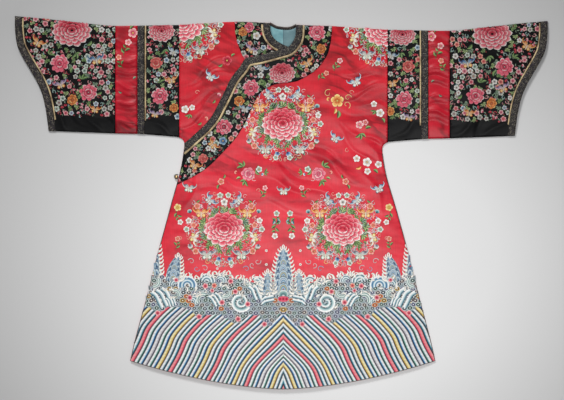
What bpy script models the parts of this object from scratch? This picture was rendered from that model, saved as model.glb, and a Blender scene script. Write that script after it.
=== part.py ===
"""Embroidered silk robe with wide flared sleeves, laid flat on its back with the front up.

+X is the wearer's left, +Y the collar and +Z up. The back lies on the surface at z = 0, the inner
front lies on the wearer's right half of it, and the outer front lies over both. Every piece that
lies on another one is cut from the same net of points and moved out, so the layers never meet.
Lengths are in metres. The cut is symmetric; "laid" moves its points to where the robe lies.
"""

import math
from collections import namedtuple

import bpy
import numpy as np
from mathutils.geometry import delaunay_2d_cdt

# Sizes of the cut
HALF_HEM = 0.4414
HEM_LOW = -0.5410
HEM_RISE = 0.0815
HEM_POWER = 1.69
BACK_HEM_DROP = 0.0020
NECK_HALF = 0.0360
NECK_TOP = 0.5165
BACK_NECK_DIP = 0.0100
ARM_SEAM = 0.3016
RED_SEAM = 0.4214
CUFF_SEAM = 0.4843
RIBBON_WIDTH = 0.0202
CORD_WIDTH = 0.0052
CORD_END = 0.2300
INNER_FRONT_SHORTER = 0.0120
INNER_FRONT_REACH = 0.0120
LINING_HALF = 0.0420
LINING_FOOT = 0.4250
TUCK = 0.0100

# Cloth thicknesses and clearances
WALL = 0.0013
BAND_WALL = 0.0010
RIBBON_WALL = 0.0011
CORD_WALL = 0.0018
LINING_WALL = 0.0010
GAP = 0.0003
LAYER_GAP = 0.0003

# How the robe lies: the shoulders slip a little to one side, the sleeves reach unequally
MIDDLE_X = 0.0062
MIDDLE_Y = 0.0006
SKEW = 0.0071
SKEW_SPREAD = 0.100
SKEW_FOOT = -0.10
SKEW_HEAD = 0.12
REACH = 0.0133

# Height of the cloth over the layer below
PUFF = 0.0042
PUFF_RUN = 0.034
NECK_PUFF = 0.0022
NECK_PUFF_RUN = 0.066
NECK_PUFF_Y = 0.490
OVERLAP_STEP = 0.0019
OVERLAP_FROM = 0.06
OVERLAP_TO = 0.24
COLLAR_LIFT = 0.0030
COLLAR_LIFT_RUN = 0.056

# Spacing of the net of points
NET = 0.042
EDGE_NET = 0.034
LINE_NET = 0.022
CUFF_NET = 0.026
ARMPIT_NET = 0.010
NECK_NET = 0.012
SEWN_NET = 0.020
BACK_NET = 0.080
MERGE = 1e-5
SLIVER = 1e-8

# Ends of the lines that cut a sleeve, and a distance past everything
SEAM_LOW = 0.15
SEAM_HIGH = 0.56
OVERSHOOT = 0.02
FAR = 1.2

Point = namedtuple("Point", "x y")
Fold = namedtuple("Fold", "x y length width turn rise")

# Edges of the cut on the wearer's left, from the middle line outwards
TOP_EDGE = [
    Point(0.0360, 0.5165), Point(0.1420, 0.5168), Point(0.2290, 0.5111), Point(0.3016, 0.5068),
    Point(0.3944, 0.5052), Point(0.4843, 0.5043), Point(0.5336, 0.5079), Point(0.6293, 0.5184),
    Point(0.6873, 0.5250), Point(0.7720, 0.5326),
]
UNDER_EDGE = [
    Point(0.3016, 0.1802), Point(0.3132, 0.1828), Point(0.4060, 0.1901), Point(0.4843, 0.1924),
    Point(0.6757, 0.1997),
]
CUFF_EDGE = [
    Point(0.6757, 0.1997), Point(0.6798, 0.2336), Point(0.6850, 0.2684), Point(0.6948, 0.3090),
    Point(0.7093, 0.3438), Point(0.7308, 0.3815), Point(0.7526, 0.4192), Point(0.7656, 0.4496),
    Point(0.7714, 0.4917), Point(0.7720, 0.5326),
]
SIDE_SEAM = [
    Point(0.4414, -0.4595), Point(0.4257, -0.3916), Point(0.3924, -0.2681), Point(0.3767, -0.2043),
    Point(0.3553, -0.1202), Point(0.3234, -0.0042), Point(0.2999, 0.0770), Point(0.2894, 0.1321),
    Point(0.2868, 0.1596),
]
ARMPIT = [Point(0.2868, 0.1596), Point(0.2882, 0.1690), Point(0.2935, 0.1762), Point(0.3016, 0.1802)]

# Edge of the outer front: round the neck, across the chest and down to the right armpit
LAPEL_EDGE = [
    Point(0.0360, 0.5165), Point(0.0357, 0.4990), Point(0.0346, 0.4850), Point(0.0290, 0.4695),
    Point(0.0140, 0.4505), Point(-0.0093, 0.4410), Point(-0.0664, 0.4222), Point(-0.0922, 0.4162),
    Point(-0.1110, 0.4095), Point(-0.1258, 0.3863), Point(-0.1514, 0.3531), Point(-0.1700, 0.3150),
    Point(-0.1902, 0.2750), Point(-0.2070, 0.2430), Point(-0.2297, 0.2156), Point(-0.2601, 0.1872),
    Point(-0.2866, 0.1640),
]
# Outer edge of the black band on the outer front, from the left shoulder to the right side
LAPEL_BAND_EDGE = [
    Point(0.1409, 0.5169), Point(0.1395, 0.4902), Point(0.1346, 0.4589), Point(0.1250, 0.4300),
    Point(0.0960, 0.3908), Point(0.0464, 0.3574), Point(0.0154, 0.3479), Point(-0.0230, 0.3405),
    Point(-0.0571, 0.3220), Point(-0.0751, 0.3006), Point(-0.0934, 0.2638), Point(-0.1117, 0.2229),
    Point(-0.1401, 0.1776), Point(-0.1769, 0.1367), Point(-0.2155, 0.0982), Point(-0.2581, 0.0701),
    Point(-0.3150, 0.0430),
]
# Neck edge of the inner front, and the outer edge of the black band that borders it
INNER_NECK = [
    Point(-0.0380, 0.5165), Point(-0.0384, 0.5060), Point(-0.0351, 0.4859), Point(-0.0223, 0.4685),
    Point(-0.0014, 0.4570), Point(0.0150, 0.4510),
]
NECK_BAND_EDGE = [
    Point(-0.1415, 0.5168), Point(-0.1383, 0.4775), Point(-0.1279, 0.4415), Point(-0.1100, 0.4080),
    Point(-0.0700, 0.3850),
]
COLLAR_RUN = [Point(-0.1350, 0.4000), Point(-0.0600, 0.4260), Point(0.0200, 0.4480)]

# The largest folds: middle, length, width, turn from +X in degrees, and height of the ridge
FOLDS = [
    Fold(0.120, 0.120, 0.26, 0.026, -30, 0.0048),
    Fold(0.060, 0.060, 0.30, 0.024, -22, 0.0042),
    Fold(0.215, 0.235, 0.20, 0.024, -14, 0.0036),
    Fold(0.225, 0.330, 0.20, 0.026, 12, 0.0034),
    Fold(0.245, 0.165, 0.13, 0.018, -42, 0.0038),
    Fold(-0.060, 0.020, 0.24, 0.026, -16, 0.0036),
    Fold(-0.205, 0.330, 0.17, 0.022, 16, 0.0030),
    Fold(-0.240, 0.250, 0.12, 0.018, 22, 0.0032),
    Fold(-0.455, 0.410, 0.10, 0.014, -8, 0.0026),
    Fold(-0.455, 0.300, 0.10, 0.014, -6, 0.0026),
    Fold(0.452, 0.390, 0.10, 0.014, 8, 0.0026),
    Fold(0.452, 0.280, 0.10, 0.014, 6, 0.0026),
    Fold(-0.150, -0.120, 0.20, 0.034, 12, 0.0022),
    Fold(0.180, -0.090, 0.22, 0.034, -12, 0.0022),
]

RED = ((0.62, 0.035, 0.06), 0.42)
BLACK = ((0.012, 0.011, 0.013), 0.45)
BROCADE = ((0.055, 0.048, 0.042), 0.5)
CREAM = ((0.62, 0.50, 0.30), 0.5)
BLUE = ((0.16, 0.36, 0.40), 0.5)
BRASS = ((0.66, 0.46, 0.16), 0.3)

BUTTON_X = -0.3097
BUTTON_Y = 0.0680
BUTTON_RADIUS = 0.0050
BUTTON_FLOOR = 0.0004
LOOP_CORD = 0.0010
LOOP_REACH = 0.0053
LOOP_POINTS = 13


def clear_scene():
    for item in list(bpy.data.objects):
        bpy.data.objects.remove(item)


def smooth(points, spacing):
    """Points at an even spacing along a Catmull-Rom curve through the given ones."""
    given = np.array([(p[0], p[1]) for p in points])
    ends = np.vstack([2 * given[0] - given[1], given, 2 * given[-1] - given[-2]])
    dense = []
    for i in range(len(given) - 1):
        a, b, c, d = ends[i : i + 4]
        for t in np.linspace(0, 1, 24, endpoint=False):
            dense.append(
                0.5 * (2 * b + (c - a) * t + (2 * a - 5 * b + 4 * c - d) * t**2
                       + (3 * b - a - 3 * c + d) * t**3)
            )
    dense = np.array(dense + [given[-1]])
    run = np.concatenate([[0], np.cumsum(np.linalg.norm(np.diff(dense, axis=0), axis=1))])
    count = max(2, round(run[-1] / spacing) + 1)
    at = np.linspace(0, run[-1], count)
    return np.stack([np.interp(at, run, dense[:, k]) for k in (0, 1)], 1)


def moved_out(line, distance):
    """A line moved to its left side by a distance."""
    along = np.gradient(line, axis=0)
    along /= np.linalg.norm(along, axis=1)[:, None]
    return line + distance * np.stack([-along[:, 1], along[:, 0]], 1)


def mirrored(line):
    return line * np.array([-1.0, 1.0])


def joined(*lines):
    """One closed outline from lines that run on from each other."""
    points = np.vstack(lines)
    step = np.linalg.norm(points - np.roll(points, 1, axis=0), axis=1)
    return points[step > 1e-6]


def between(a, b, spacing):
    """Even points on the straight line from a to b."""
    count = max(2, round(math.dist(a, b) / spacing) + 1)
    return np.linspace(a, b, count)


def direction(vector):
    return vector / np.linalg.norm(vector)


def run_on(line, ends=2):
    """A line made longer at its start or at both ends, so that it cuts right through a panel."""
    line = np.vstack([line[0] - OVERSHOOT * direction(line[1] - line[0]), line])
    if ends == 2:
        line = np.vstack([line, line[-1] + OVERSHOOT * direction(line[-1] - line[-2])])
    return line


def hem(drop=0.0):
    """The hem from the middle line to the left side seam."""
    across = np.linspace(0, HALF_HEM, round(HALF_HEM / EDGE_NET) + 1)
    rise = HEM_RISE * (across / HALF_HEM) ** HEM_POWER
    return np.stack([across, HEM_LOW + rise - drop], 1)


def arm_line():
    return between((ARM_SEAM, UNDER_EDGE[0].y), (ARM_SEAM, TOP_EDGE[3].y), EDGE_NET)


def half_body(drop=0.0):
    """Outline of the left half of the body, from the middle of the hem to the neck's corner."""
    side = joined(smooth(SIDE_SEAM, EDGE_NET), smooth(ARMPIT, ARMPIT_NET))
    shoulder = smooth(TOP_EDGE[:4], EDGE_NET)
    return joined(hem(drop), side, arm_line(), shoulder[::-1])


def sleeve():
    """Outline of the left sleeve."""
    return joined(smooth(UNDER_EDGE, EDGE_NET), smooth(CUFF_EDGE, CUFF_NET),
                  smooth(TOP_EDGE[3:], EDGE_NET)[::-1], arm_line()[::-1])


def seam(x):
    """A straight seam across the sleeve."""
    return between((x, SEAM_LOW), (x, SEAM_HIGH), EDGE_NET)


def stretch(low, high):
    """Region of a sleeve between two seams."""
    return np.array([(low, SEAM_LOW), (high, SEAM_LOW), (high, SEAM_HIGH), (low, SEAM_HIGH)])


def strip(line, near, far):
    """Region that follows a line on its left side, from near to far of it."""
    return joined(moved_out(line, near), moved_out(line, far)[::-1])


def front_cuts():
    """The panels' outlines, the lines that cut them, and each piece's region, by name."""
    body = half_body()
    body = joined(body, mirrored(body)[::-1])
    left = sleeve()
    lapel = run_on(smooth(LAPEL_EDGE, LINE_NET))
    band = run_on(smooth(LAPEL_BAND_EDGE, LINE_NET))
    neck = run_on(smooth(INNER_NECK, LINE_NET), 1)
    collar = run_on(smooth(NECK_BAND_EDGE, EDGE_NET), 1)
    cuff = run_on(smooth(CUFF_EDGE, CUFF_NET))
    foot = hem() + np.array([0.0, INNER_FRONT_SHORTER])
    foot = joined(mirrored(foot)[::-1], foot)
    foot = foot[(foot[:, 0] < INNER_FRONT_REACH) & (foot[:, 0] > -HALF_HEM - OVERSHOOT / 2)]
    foot = np.vstack([foot[0] - (1.5 * OVERSHOOT, 0), foot, (INNER_FRONT_REACH, foot[-1][1])])
    opening = between(neck[-1], foot[-1], EDGE_NET)
    middle = between((0, HEM_LOW - OVERSHOOT), (0, NECK_TOP + OVERSHOOT), EDGE_NET)
    tucked = moved_out(lapel, TUCK)

    panels = [body, left, mirrored(left)[::-1]]
    trims = (RIBBON_WIDTH, RIBBON_WIDTH + CORD_WIDTH)
    lines = [lapel, band, neck, collar, foot, opening, middle]
    lines += [tucked] + [moved_out(lapel, far) for far in trims]
    lines += [moved_out(neck[::-1], far) for far in trims]
    for x in (RED_SEAM - trims[1], RED_SEAM - trims[0], RED_SEAM, CUFF_SEAM):
        lines += [seam(x), mirrored(seam(x))]
    for far in trims:
        lines += [moved_out(cuff, far), mirrored(moved_out(cuff, far))]

    far_left, far_right = (FAR, FAR), (-FAR, FAR)
    low_left, low_right = (FAR, -FAR), (-FAR, -FAR)
    regions = {
        "body": body,
        "left_half": np.array([(0, -FAR), low_left, far_left, (0, FAR)]),
        "outer": np.vstack([lapel, low_right, low_left, far_left]),
        "tucked": np.vstack([tucked, low_right, far_right, (tucked[0][0], FAR)]),
        "inner": np.vstack([neck, opening, foot[::-1], low_right, far_right]),
        "lapel_band": np.vstack([lapel, band[::-1]]),
        "neck_band": np.vstack([neck, collar[::-1]]),
        "lapel_ribbon": strip(lapel, 0, trims[0]),
        "lapel_cord": strip(lapel, trims[0], trims[1]),
        "neck_ribbon": strip(neck[::-1], 0, trims[0]),
        "neck_cord": strip(neck[::-1], trims[0], trims[1]),
    }
    arm = {
        "sleeve": left,
        "band": stretch(ARM_SEAM, RED_SEAM),
        "red": stretch(RED_SEAM, CUFF_SEAM),
        "cuff": stretch(CUFF_SEAM, FAR),
        "band_ribbon": stretch(RED_SEAM - trims[0], RED_SEAM),
        "band_cord": stretch(RED_SEAM - trims[1], RED_SEAM - trims[0]),
        "cuff_ribbon": strip(cuff, 0, trims[0]),
        "cuff_cord": strip(cuff, trims[0], trims[1]),
    }
    for name, region in arm.items():
        regions[name + "_left"] = region
        regions[name + "_right"] = mirrored(region)
    return panels, lines, regions


def inside(points, outline):
    """Whether each point lies within a closed outline."""
    x, y = points[:, 0], points[:, 1]
    found = np.zeros(len(points), bool)
    for (ax, ay), (bx, by) in zip(outline, np.roll(outline, -1, axis=0)):
        crosses = (ay > y) != (by > y)
        found ^= crosses & (x < (bx - ax) * (y - ay) / (by - ay + 1e-300) + ax)
    return found


def distance(points, line):
    """Distance from each point to a line of straight runs."""
    best = np.full(len(points), np.inf)
    for a, b in zip(line[:-1], line[1:]):
        run = b - a
        share = np.clip(((points - a) @ run) / max(run @ run, 1e-12), 0, 1)
        best = np.minimum(best, np.linalg.norm(points - a - share[:, None] * run, axis=1))
    return best


def net(closed, lines, spacing):
    """A net of triangles whose edges follow the closed outlines and the lines."""
    rings = [np.vstack([outline, outline[:1]]) for outline in closed]
    points, edges = [], []
    for line in rings + lines:
        first = len(points)
        points += [tuple(p) for p in line]
        edges += [(first + i, first + i + 1) for i in range(len(line) - 1)]
    low, high = np.min(points, axis=0), np.max(points, axis=0)
    rows = np.arange(low[1], high[1], spacing * math.sqrt(3) / 2)
    grid = np.array([(x + (i % 2) * spacing / 2, y) for i, y in enumerate(rows)
                     for x in np.arange(low[0], high[0], spacing)])
    clear = np.ones(len(grid), bool)
    for line in rings + lines:
        clear &= distance(grid, line) > spacing * 0.5
    points += [tuple(p) for p in grid[clear]]
    made = delaunay_2d_cdt(points, edges, [], 0, MERGE)
    points, faces = np.array([tuple(v) for v in made[0]]), np.array(made[2])
    a, b, c = (points[faces[:, i]] for i in range(3))
    area = (b[:, 0] - a[:, 0]) * (c[:, 1] - a[:, 1]) - (c[:, 0] - a[:, 0]) * (b[:, 1] - a[:, 1])
    faces[area < 0] = faces[area < 0][:, ::-1]
    return points, faces[np.abs(area) > SLIVER]


def laid(points):
    """Where points of the cut lie on the surface."""
    x, y = points[:, 0], points[:, 1]
    rise = np.clip((y - SKEW_FOOT) / (SKEW_HEAD - SKEW_FOOT), 0, 1)
    fade = rise * rise * (3 - 2 * rise)
    beyond = np.maximum(np.abs(x) - ARM_SEAM, 0)
    return np.stack([x - REACH * beyond + MIDDLE_X, y - SKEW * np.tanh(x / SKEW_SPREAD) * fade
                     + MIDDLE_Y], 1)


def sewn_edges():
    """The edges where front and back are one cloth or are sewn to each other."""
    head = smooth(TOP_EDGE, SEWN_NET)
    foot = np.vstack([smooth(SIDE_SEAM, SEWN_NET), smooth(ARMPIT, ARMPIT_NET), smooth(UNDER_EDGE, SEWN_NET)])
    return [head, foot, mirrored(head), mirrored(foot)]


def fold_height(points):
    """Sum of the folds, each a soft ridge that fades to its ends."""
    total = np.zeros(len(points))
    for fold in FOLDS:
        turn = math.radians(fold.turn)
        dx, dy = points[:, 0] - fold.x, points[:, 1] - fold.y
        along = dx * math.cos(turn) + dy * math.sin(turn)
        across = -dx * math.sin(turn) + dy * math.cos(turn)
        total += fold.rise * np.exp(-((2 * along / fold.length) ** 2) - (across / fold.width) ** 2)
    return total


def front_height(points):
    """Height of the underside of the front over the back's upper side, in the cut's frame."""
    edge = np.min([distance(points, line) for line in sewn_edges()], axis=0)
    near = 1 - np.exp(-edge / PUFF_RUN)
    from_neck = np.hypot(points[:, 0], points[:, 1] - NECK_PUFF_Y)
    neck = NECK_PUFF * np.exp(-((from_neck / NECK_PUFF_RUN) ** 4))
    return PUFF * near + fold_height(points) * near + neck


def overlap_height(points):
    """How much higher the outer front lies, over the inner front and its collar."""
    share = np.clip((points[:, 0] - OVERLAP_FROM) / (OVERLAP_TO - OVERLAP_FROM), 0, 1)
    step = OVERLAP_STEP * (1 - share * share * (3 - 2 * share))
    run = distance(points, smooth(COLLAR_RUN, SEWN_NET))
    return step + COLLAR_LIFT * np.exp(-((run / COLLAR_LIFT_RUN) ** 4))


def material(name, look):
    colour, roughness = look
    made = bpy.data.materials.new(name)
    made.use_nodes = True
    shader = made.node_tree.nodes["Principled BSDF"]
    shader.inputs["Base Color"].default_value = (*colour, 1)
    shader.inputs["Roughness"].default_value = roughness
    shader.inputs["Metallic"].default_value = 1.0 if look is BRASS else 0.0
    return made


def drawn_in(points, faces):
    """The net's points with those on the rim moved inwards by half a gap, as a seam leaves them."""
    edges = {}
    for face in faces:
        for i in range(3):
            edges[(face[i], face[(i + 1) % 3])] = True
    push = {}
    for a, b in edges:
        if (b, a) not in edges:
            run = direction(points[b] - points[a])
            for corner in (a, b):
                push.setdefault(corner, []).append(np.array([-run[1], run[0]]))
    moved = points.copy()
    for corner, ways in push.items():
        one, two = ways[0], ways[-1]
        moved[corner] += GAP / 2 * (one + two) / max(1 + float(one @ two), 0.3)
    return moved


def cloth(name, look, points, faces, height, wall, home):
    """One piece of cloth: the given triangles of the net, raised, and given a wall upwards."""
    used = np.unique(faces)
    moved = laid(drawn_in(points, faces))
    number = {int(v): i for i, v in enumerate(used)}
    places = [(*moved[v], height[v]) for v in used]
    mesh = bpy.data.meshes.new(name)
    mesh.from_pydata(places, [], [[number[int(v)] for v in face] for face in faces])
    mesh.materials.append(material(name, look))
    made = bpy.data.objects.new(name, mesh)
    home.objects.link(made)
    solid = made.modifiers.new("wall", "SOLIDIFY")
    solid.thickness = wall
    solid.offset = 1.0
    return made


def make_front(home):
    """The outer and inner front, the bands, ribbons and cords on them, and the sleeve fronts."""
    panels, lines, regions = front_cuts()
    points, faces = net(panels, lines, NET)
    middle = points[faces].mean(axis=1)
    within = {name: inside(middle, region) for name, region in regions.items()}
    low = WALL + LAYER_GAP + front_height(points)
    high = low + overlap_height(points)
    above_wall = WALL + LAYER_GAP
    above_band = above_wall + BAND_WALL + LAYER_GAP

    outer = within["body"] & within["outer"]
    inner = within["body"] & within["inner"]
    lapel = outer & within["lapel_band"]
    collar = inner & within["neck_band"] & within["tucked"]
    pieces = [
        ("front_left", RED, outer & within["left_half"], high, WALL),
        ("front_right", RED, outer & ~within["left_half"], high, WALL),
        ("inner_front", RED, inner, low, WALL),
        ("lapel_band", BLACK, lapel, high + above_wall, BAND_WALL),
        ("lapel_ribbon", BROCADE, lapel & within["lapel_ribbon"], high + above_band, RIBBON_WALL),
        ("lapel_cord", CREAM, lapel & within["lapel_cord"], high + above_band, CORD_WALL),
        ("neck_band", BLACK, collar, low + above_wall, BAND_WALL),
        ("neck_ribbon", BROCADE, collar & within["neck_ribbon"], low + above_band, RIBBON_WALL),
        ("neck_cord", CREAM, collar & within["neck_cord"], low + above_band, RIBBON_WALL),
    ]
    for side in ("left", "right"):
        arm = within[f"sleeve_{side}"]
        for piece, look in (("band", BLACK), ("red", RED), ("cuff", BLACK)):
            panel = arm & within[f"{piece}_{side}"]
            pieces.append((f"sleeve_{piece}_{side}", look, panel, low, WALL))
        for piece in ("band", "cuff"):
            panel = arm & within[f"{piece}_{side}"]
            ribbon = panel & within[f"{piece}_ribbon_{side}"]
            cord = panel & within[f"{piece}_cord_{side}"] & (middle[:, 1] > CORD_END)
            trim = low + above_wall
            pieces.append((f"{piece}_ribbon_{side}", BROCADE, ribbon, trim, RIBBON_WALL))
            pieces.append((f"{piece}_cord_{side}", CREAM, cord, trim, CORD_WALL))
    for name, look, chosen, height, wall in pieces:
        cloth(name, look, points, faces[chosen], height, wall, home)


def make_back(home):
    """The back of the body and of the sleeves, flat on the surface, and the lining at the neck."""
    half = half_body(BACK_HEM_DROP)
    neck = smooth([(NECK_HALF, NECK_TOP), (0.55 * NECK_HALF, NECK_TOP - 0.8 * BACK_NECK_DIP),
                   (0, NECK_TOP - BACK_NECK_DIP), (-0.55 * NECK_HALF, NECK_TOP - 0.8 * BACK_NECK_DIP),
                   (-NECK_HALF, NECK_TOP)], NECK_NET)
    body = joined(half, neck, mirrored(half)[::-1])
    left = sleeve()
    middle = between((0, HEM_LOW - OVERSHOOT), (0, NECK_TOP + OVERSHOOT), BACK_NET)
    lines = [middle]
    for x in (RED_SEAM, CUFF_SEAM):
        lines += [seam(x), mirrored(seam(x))]
    points, faces = net([body, left, mirrored(left)[::-1]], lines, BACK_NET)
    spots = points[faces].mean(axis=1)
    flat = np.zeros(len(points))
    within_body = inside(spots, body)
    cloth("back_left", RED, points, faces[within_body & (spots[:, 0] > 0)], flat, WALL, home)
    cloth("back_right", RED, points, faces[within_body & (spots[:, 0] < 0)], flat, WALL, home)
    for side, panel in (("left", left), ("right", mirrored(left))):
        arm, out = inside(spots, panel), np.abs(spots[:, 0])
        for piece, look, near, far in (("band", BLACK, ARM_SEAM, RED_SEAM),
                                       ("red", RED, RED_SEAM, CUFF_SEAM),
                                       ("cuff", BLACK, CUFF_SEAM, FAR)):
            chosen = arm & (out > near) & (out < far)
            cloth(f"sleeve_{piece}_{side}_back", look, points, faces[chosen], flat, WALL, home)

    rim = moved_out(neck, RIBBON_WIDTH / 3)[1:-1]
    foot = np.array([(-LINING_HALF, rim[-1][1]), (-LINING_HALF, LINING_FOOT),
                     (LINING_HALF, LINING_FOOT), (LINING_HALF, rim[0][1])])
    for name, look, outline in (("back_neck_ribbon", BROCADE, joined(neck[1:-1], rim[::-1])),
                                ("back_lining", BLUE, joined(rim, foot))):
        points, faces = net([outline], [], BACK_NET)
        faces = faces[inside(points[faces].mean(axis=1), outline)]
        lift = np.full(len(points), WALL + LAYER_GAP)
        cloth(name, look, points, faces, lift, LINING_WALL, home)


def make_button(home):
    """The ball button and the cord loop that close the outer front at the right side."""
    x, y = laid(np.array([[BUTTON_X, BUTTON_Y]]))[0]
    height = BUTTON_FLOOR + BUTTON_RADIUS
    bpy.ops.mesh.primitive_uv_sphere_add(segments=16, ring_count=8, radius=BUTTON_RADIUS,
                                         location=(x, y, height))
    ball = bpy.context.object
    ball.name = "side_button"
    ball.data.materials.append(material("side_button", BRASS))
    for owner in list(ball.users_collection):
        owner.objects.unlink(ball)
    home.objects.link(ball)

    turn_radius = BUTTON_RADIUS + LOOP_CORD + GAP
    route = [(x + LOOP_REACH, y + turn_radius)]
    for angle in np.linspace(90, 270, LOOP_POINTS):
        turn = math.radians(angle)
        route.append((x + turn_radius * math.cos(turn), y + turn_radius * math.sin(turn)))
    route.append((x + LOOP_REACH, y - turn_radius))
    curve = bpy.data.curves.new("side_button_loop", "CURVE")
    curve.dimensions = "3D"
    curve.bevel_depth = LOOP_CORD
    curve.bevel_resolution = 2
    curve.use_fill_caps = True
    line = curve.splines.new("POLY")
    line.points.add(len(route) - 1)
    for point, place in zip(line.points, route):
        point.co = (*place, height, 1)
    curve.materials.append(material("side_button_loop", BLACK))
    home.objects.link(bpy.data.objects.new("side_button_loop", curve))


def main():
    clear_scene()
    home = bpy.data.collections.new("ceremonial robe")
    bpy.context.scene.collection.children.link(home)
    make_back(home)
    make_front(home)
    make_button(home)


main()
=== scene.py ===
"""Looks of the embroidered silk robe: cloth shells, trims, embroidery, materials, light and camera.

The robe lies on its back with the collar towards +Y. The embroidery is drawn flat, in units of
UNIT metres from the middle of the robe's outline, and is then laid on the cloth's surface.
"""

import math
from collections import namedtuple

import bpy
import numpy as np
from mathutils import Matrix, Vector
from mathutils.bvhtree import BVHTree
from mathutils.geometry import delaunay_2d_cdt


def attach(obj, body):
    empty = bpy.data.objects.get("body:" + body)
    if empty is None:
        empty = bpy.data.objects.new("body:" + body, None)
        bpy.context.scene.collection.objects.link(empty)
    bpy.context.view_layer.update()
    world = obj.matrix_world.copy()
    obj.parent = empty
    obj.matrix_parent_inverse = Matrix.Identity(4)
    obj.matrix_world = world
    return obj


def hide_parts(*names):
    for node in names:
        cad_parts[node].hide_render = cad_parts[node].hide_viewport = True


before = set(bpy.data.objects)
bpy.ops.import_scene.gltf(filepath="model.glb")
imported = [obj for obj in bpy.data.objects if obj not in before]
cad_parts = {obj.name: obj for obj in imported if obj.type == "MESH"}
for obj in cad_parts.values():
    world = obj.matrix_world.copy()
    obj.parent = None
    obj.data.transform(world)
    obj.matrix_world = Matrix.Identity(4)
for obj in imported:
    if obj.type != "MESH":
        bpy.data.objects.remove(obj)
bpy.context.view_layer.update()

# The photograph's frame and scale
IMAGE_WIDTH = 564
UNIT = 0.0029
VIEW_X = 0.0022
VIEW_Y = 0.0072
CAMERA_HEIGHT = 8.0
SENSOR = 36.0

# The cut and how it lies, as in the solids
HALF_HEM = 0.4414
HEM_LOW = -0.5410
HEM_RISE = 0.0815
HEM_POWER = 1.69
NECK_HALF = 0.0360
NECK_TOP = 0.5165
BACK_NECK_DIP = 0.0100
ARM_SEAM = 0.3016
RED_SEAM = 0.4214
CUFF_SEAM = 0.4843
RIBBON_WIDTH = 0.0202
CORD_WIDTH = 0.0056
SLEEVE_CORD_HALF = 0.0020
CORD_END = 0.2300
INNER_FRONT_SHORTER = 0.0120
INNER_FRONT_REACH = 0.0120
LINING_HALF = 0.0420
LINING_FOOT = 0.4250
TUCK = 0.0100
WALL = 0.0013
BAND_WALL = 0.0010
RIBBON_WALL = 0.0011
LAYER_GAP = 0.0003
MIDDLE_X = 0.0062
MIDDLE_Y = 0.0006
SKEW = 0.0071
SKEW_SPREAD = 0.100
SKEW_FOOT = -0.10
SKEW_HEAD = 0.12
REACH = 0.0133
PUFF = 0.0042
PUFF_RUN = 0.034
NECK_PUFF = 0.0022
NECK_PUFF_RUN = 0.066
NECK_PUFF_Y = 0.490
OVERLAP_STEP = 0.0019
OVERLAP_FROM = 0.06
OVERLAP_TO = 0.24
COLLAR_LIFT = 0.0030
COLLAR_LIFT_RUN = 0.056
BUTTON_X = -0.3097
BUTTON_Y = 0.0680
BUTTON_RADIUS = 0.0050
BUTTON_FLOOR = 0.0004
LOOP_CORD = 0.0010
LOOP_REACH = 0.0053
CREASE_DEPTH = 2.7

# Spacing of the cloth's net, and of points along its edges
NET = 0.0052
EDGE_NET = 0.006
BACK_NET = 0.016
SEAM_LOW = 0.15
SEAM_HIGH = 0.56
OVERSHOOT = 0.02
FAR = 1.2
MERGE = 1e-5
SLIVER = 1e-9

SLEEVE_CORD_TOP = 0.5050
CUFF_CORD_TOP = 0.5290
LAPEL_CORD_END = -0.2868
NECK_CORD_END = -0.012
CORD_FLATNESS = 0.62
THIN_WALL = 0.001
THIN_NET = 0.006
NECK_NET = 0.004
BINDING_RADIUS = 0.0020
BINDING_LOW = 0.0030
BINDING_RISE = 0.0040
PIPING_HALF = 0.0011
PIPING_OUT = 0.0002
LOOP_GAP = 0.0003
FOOT_RUN_ON = 0.03

SIDES = (("left", 1), ("right", -1))

Fold = namedtuple("Fold", "x y length width turn rise")


def folds(*rows):
    return [Fold(*row) for row in rows]


# The edges of the cut, as places from the middle line, in metres

TOP_EDGE = [
    (0.036, 0.5165), (0.142, 0.5168), (0.229, 0.5111), (0.3016, 0.5068), (0.3944, 0.5052), (0.4843, 0.5043),
    (0.5336, 0.5079), (0.6293, 0.5184), (0.6873, 0.525), (0.772, 0.5326),
]
UNDER_EDGE = [
    (0.3016, 0.1802), (0.3132, 0.1828), (0.406, 0.1901), (0.4843, 0.1924), (0.6757, 0.1997),
]
CUFF_EDGE = [
    (0.6757, 0.1997), (0.6798, 0.2336), (0.685, 0.2684), (0.6948, 0.309), (0.7093, 0.3438),
    (0.7308, 0.3815), (0.7526, 0.4192), (0.7656, 0.4496), (0.7714, 0.4917), (0.772, 0.5326),
]
SIDE_SEAM = [
    (0.4414, -0.4595), (0.4257, -0.3916), (0.3924, -0.2681), (0.3767, -0.2043), (0.3553, -0.1202),
    (0.3234, -0.0042), (0.2999, 0.077), (0.2894, 0.1321), (0.2868, 0.1596),
]
ARMPIT = [
    (0.2868, 0.1596), (0.2882, 0.169), (0.2935, 0.1762), (0.3016, 0.1802),
]
LAPEL_EDGE = [
    (0.036, 0.5165), (0.0357, 0.499), (0.0346, 0.485), (0.029, 0.4695), (0.014, 0.4505), (-0.0093, 0.441),
    (-0.0664, 0.4222), (-0.0922, 0.4162), (-0.111, 0.4095), (-0.1258, 0.3863), (-0.1514, 0.3531),
    (-0.17, 0.315), (-0.1902, 0.275), (-0.207, 0.243), (-0.2297, 0.2156), (-0.2601, 0.1872),
    (-0.2866, 0.164),
]
LAPEL_BAND_EDGE = [
    (0.1409, 0.5169), (0.1395, 0.4902), (0.1346, 0.4589), (0.125, 0.43), (0.096, 0.3908), (0.0464, 0.3574),
    (0.0154, 0.3479), (-0.023, 0.3405), (-0.0571, 0.322), (-0.0751, 0.3006), (-0.0934, 0.2638),
    (-0.1117, 0.2229), (-0.1401, 0.1776), (-0.1769, 0.1367), (-0.2155, 0.0982), (-0.2581, 0.0701),
    (-0.315, 0.043),
]
INNER_NECK = [
    (-0.038, 0.5165), (-0.0384, 0.506), (-0.0351, 0.4859), (-0.0223, 0.4685), (-0.0014, 0.457),
    (0.015, 0.451),
]
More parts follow.
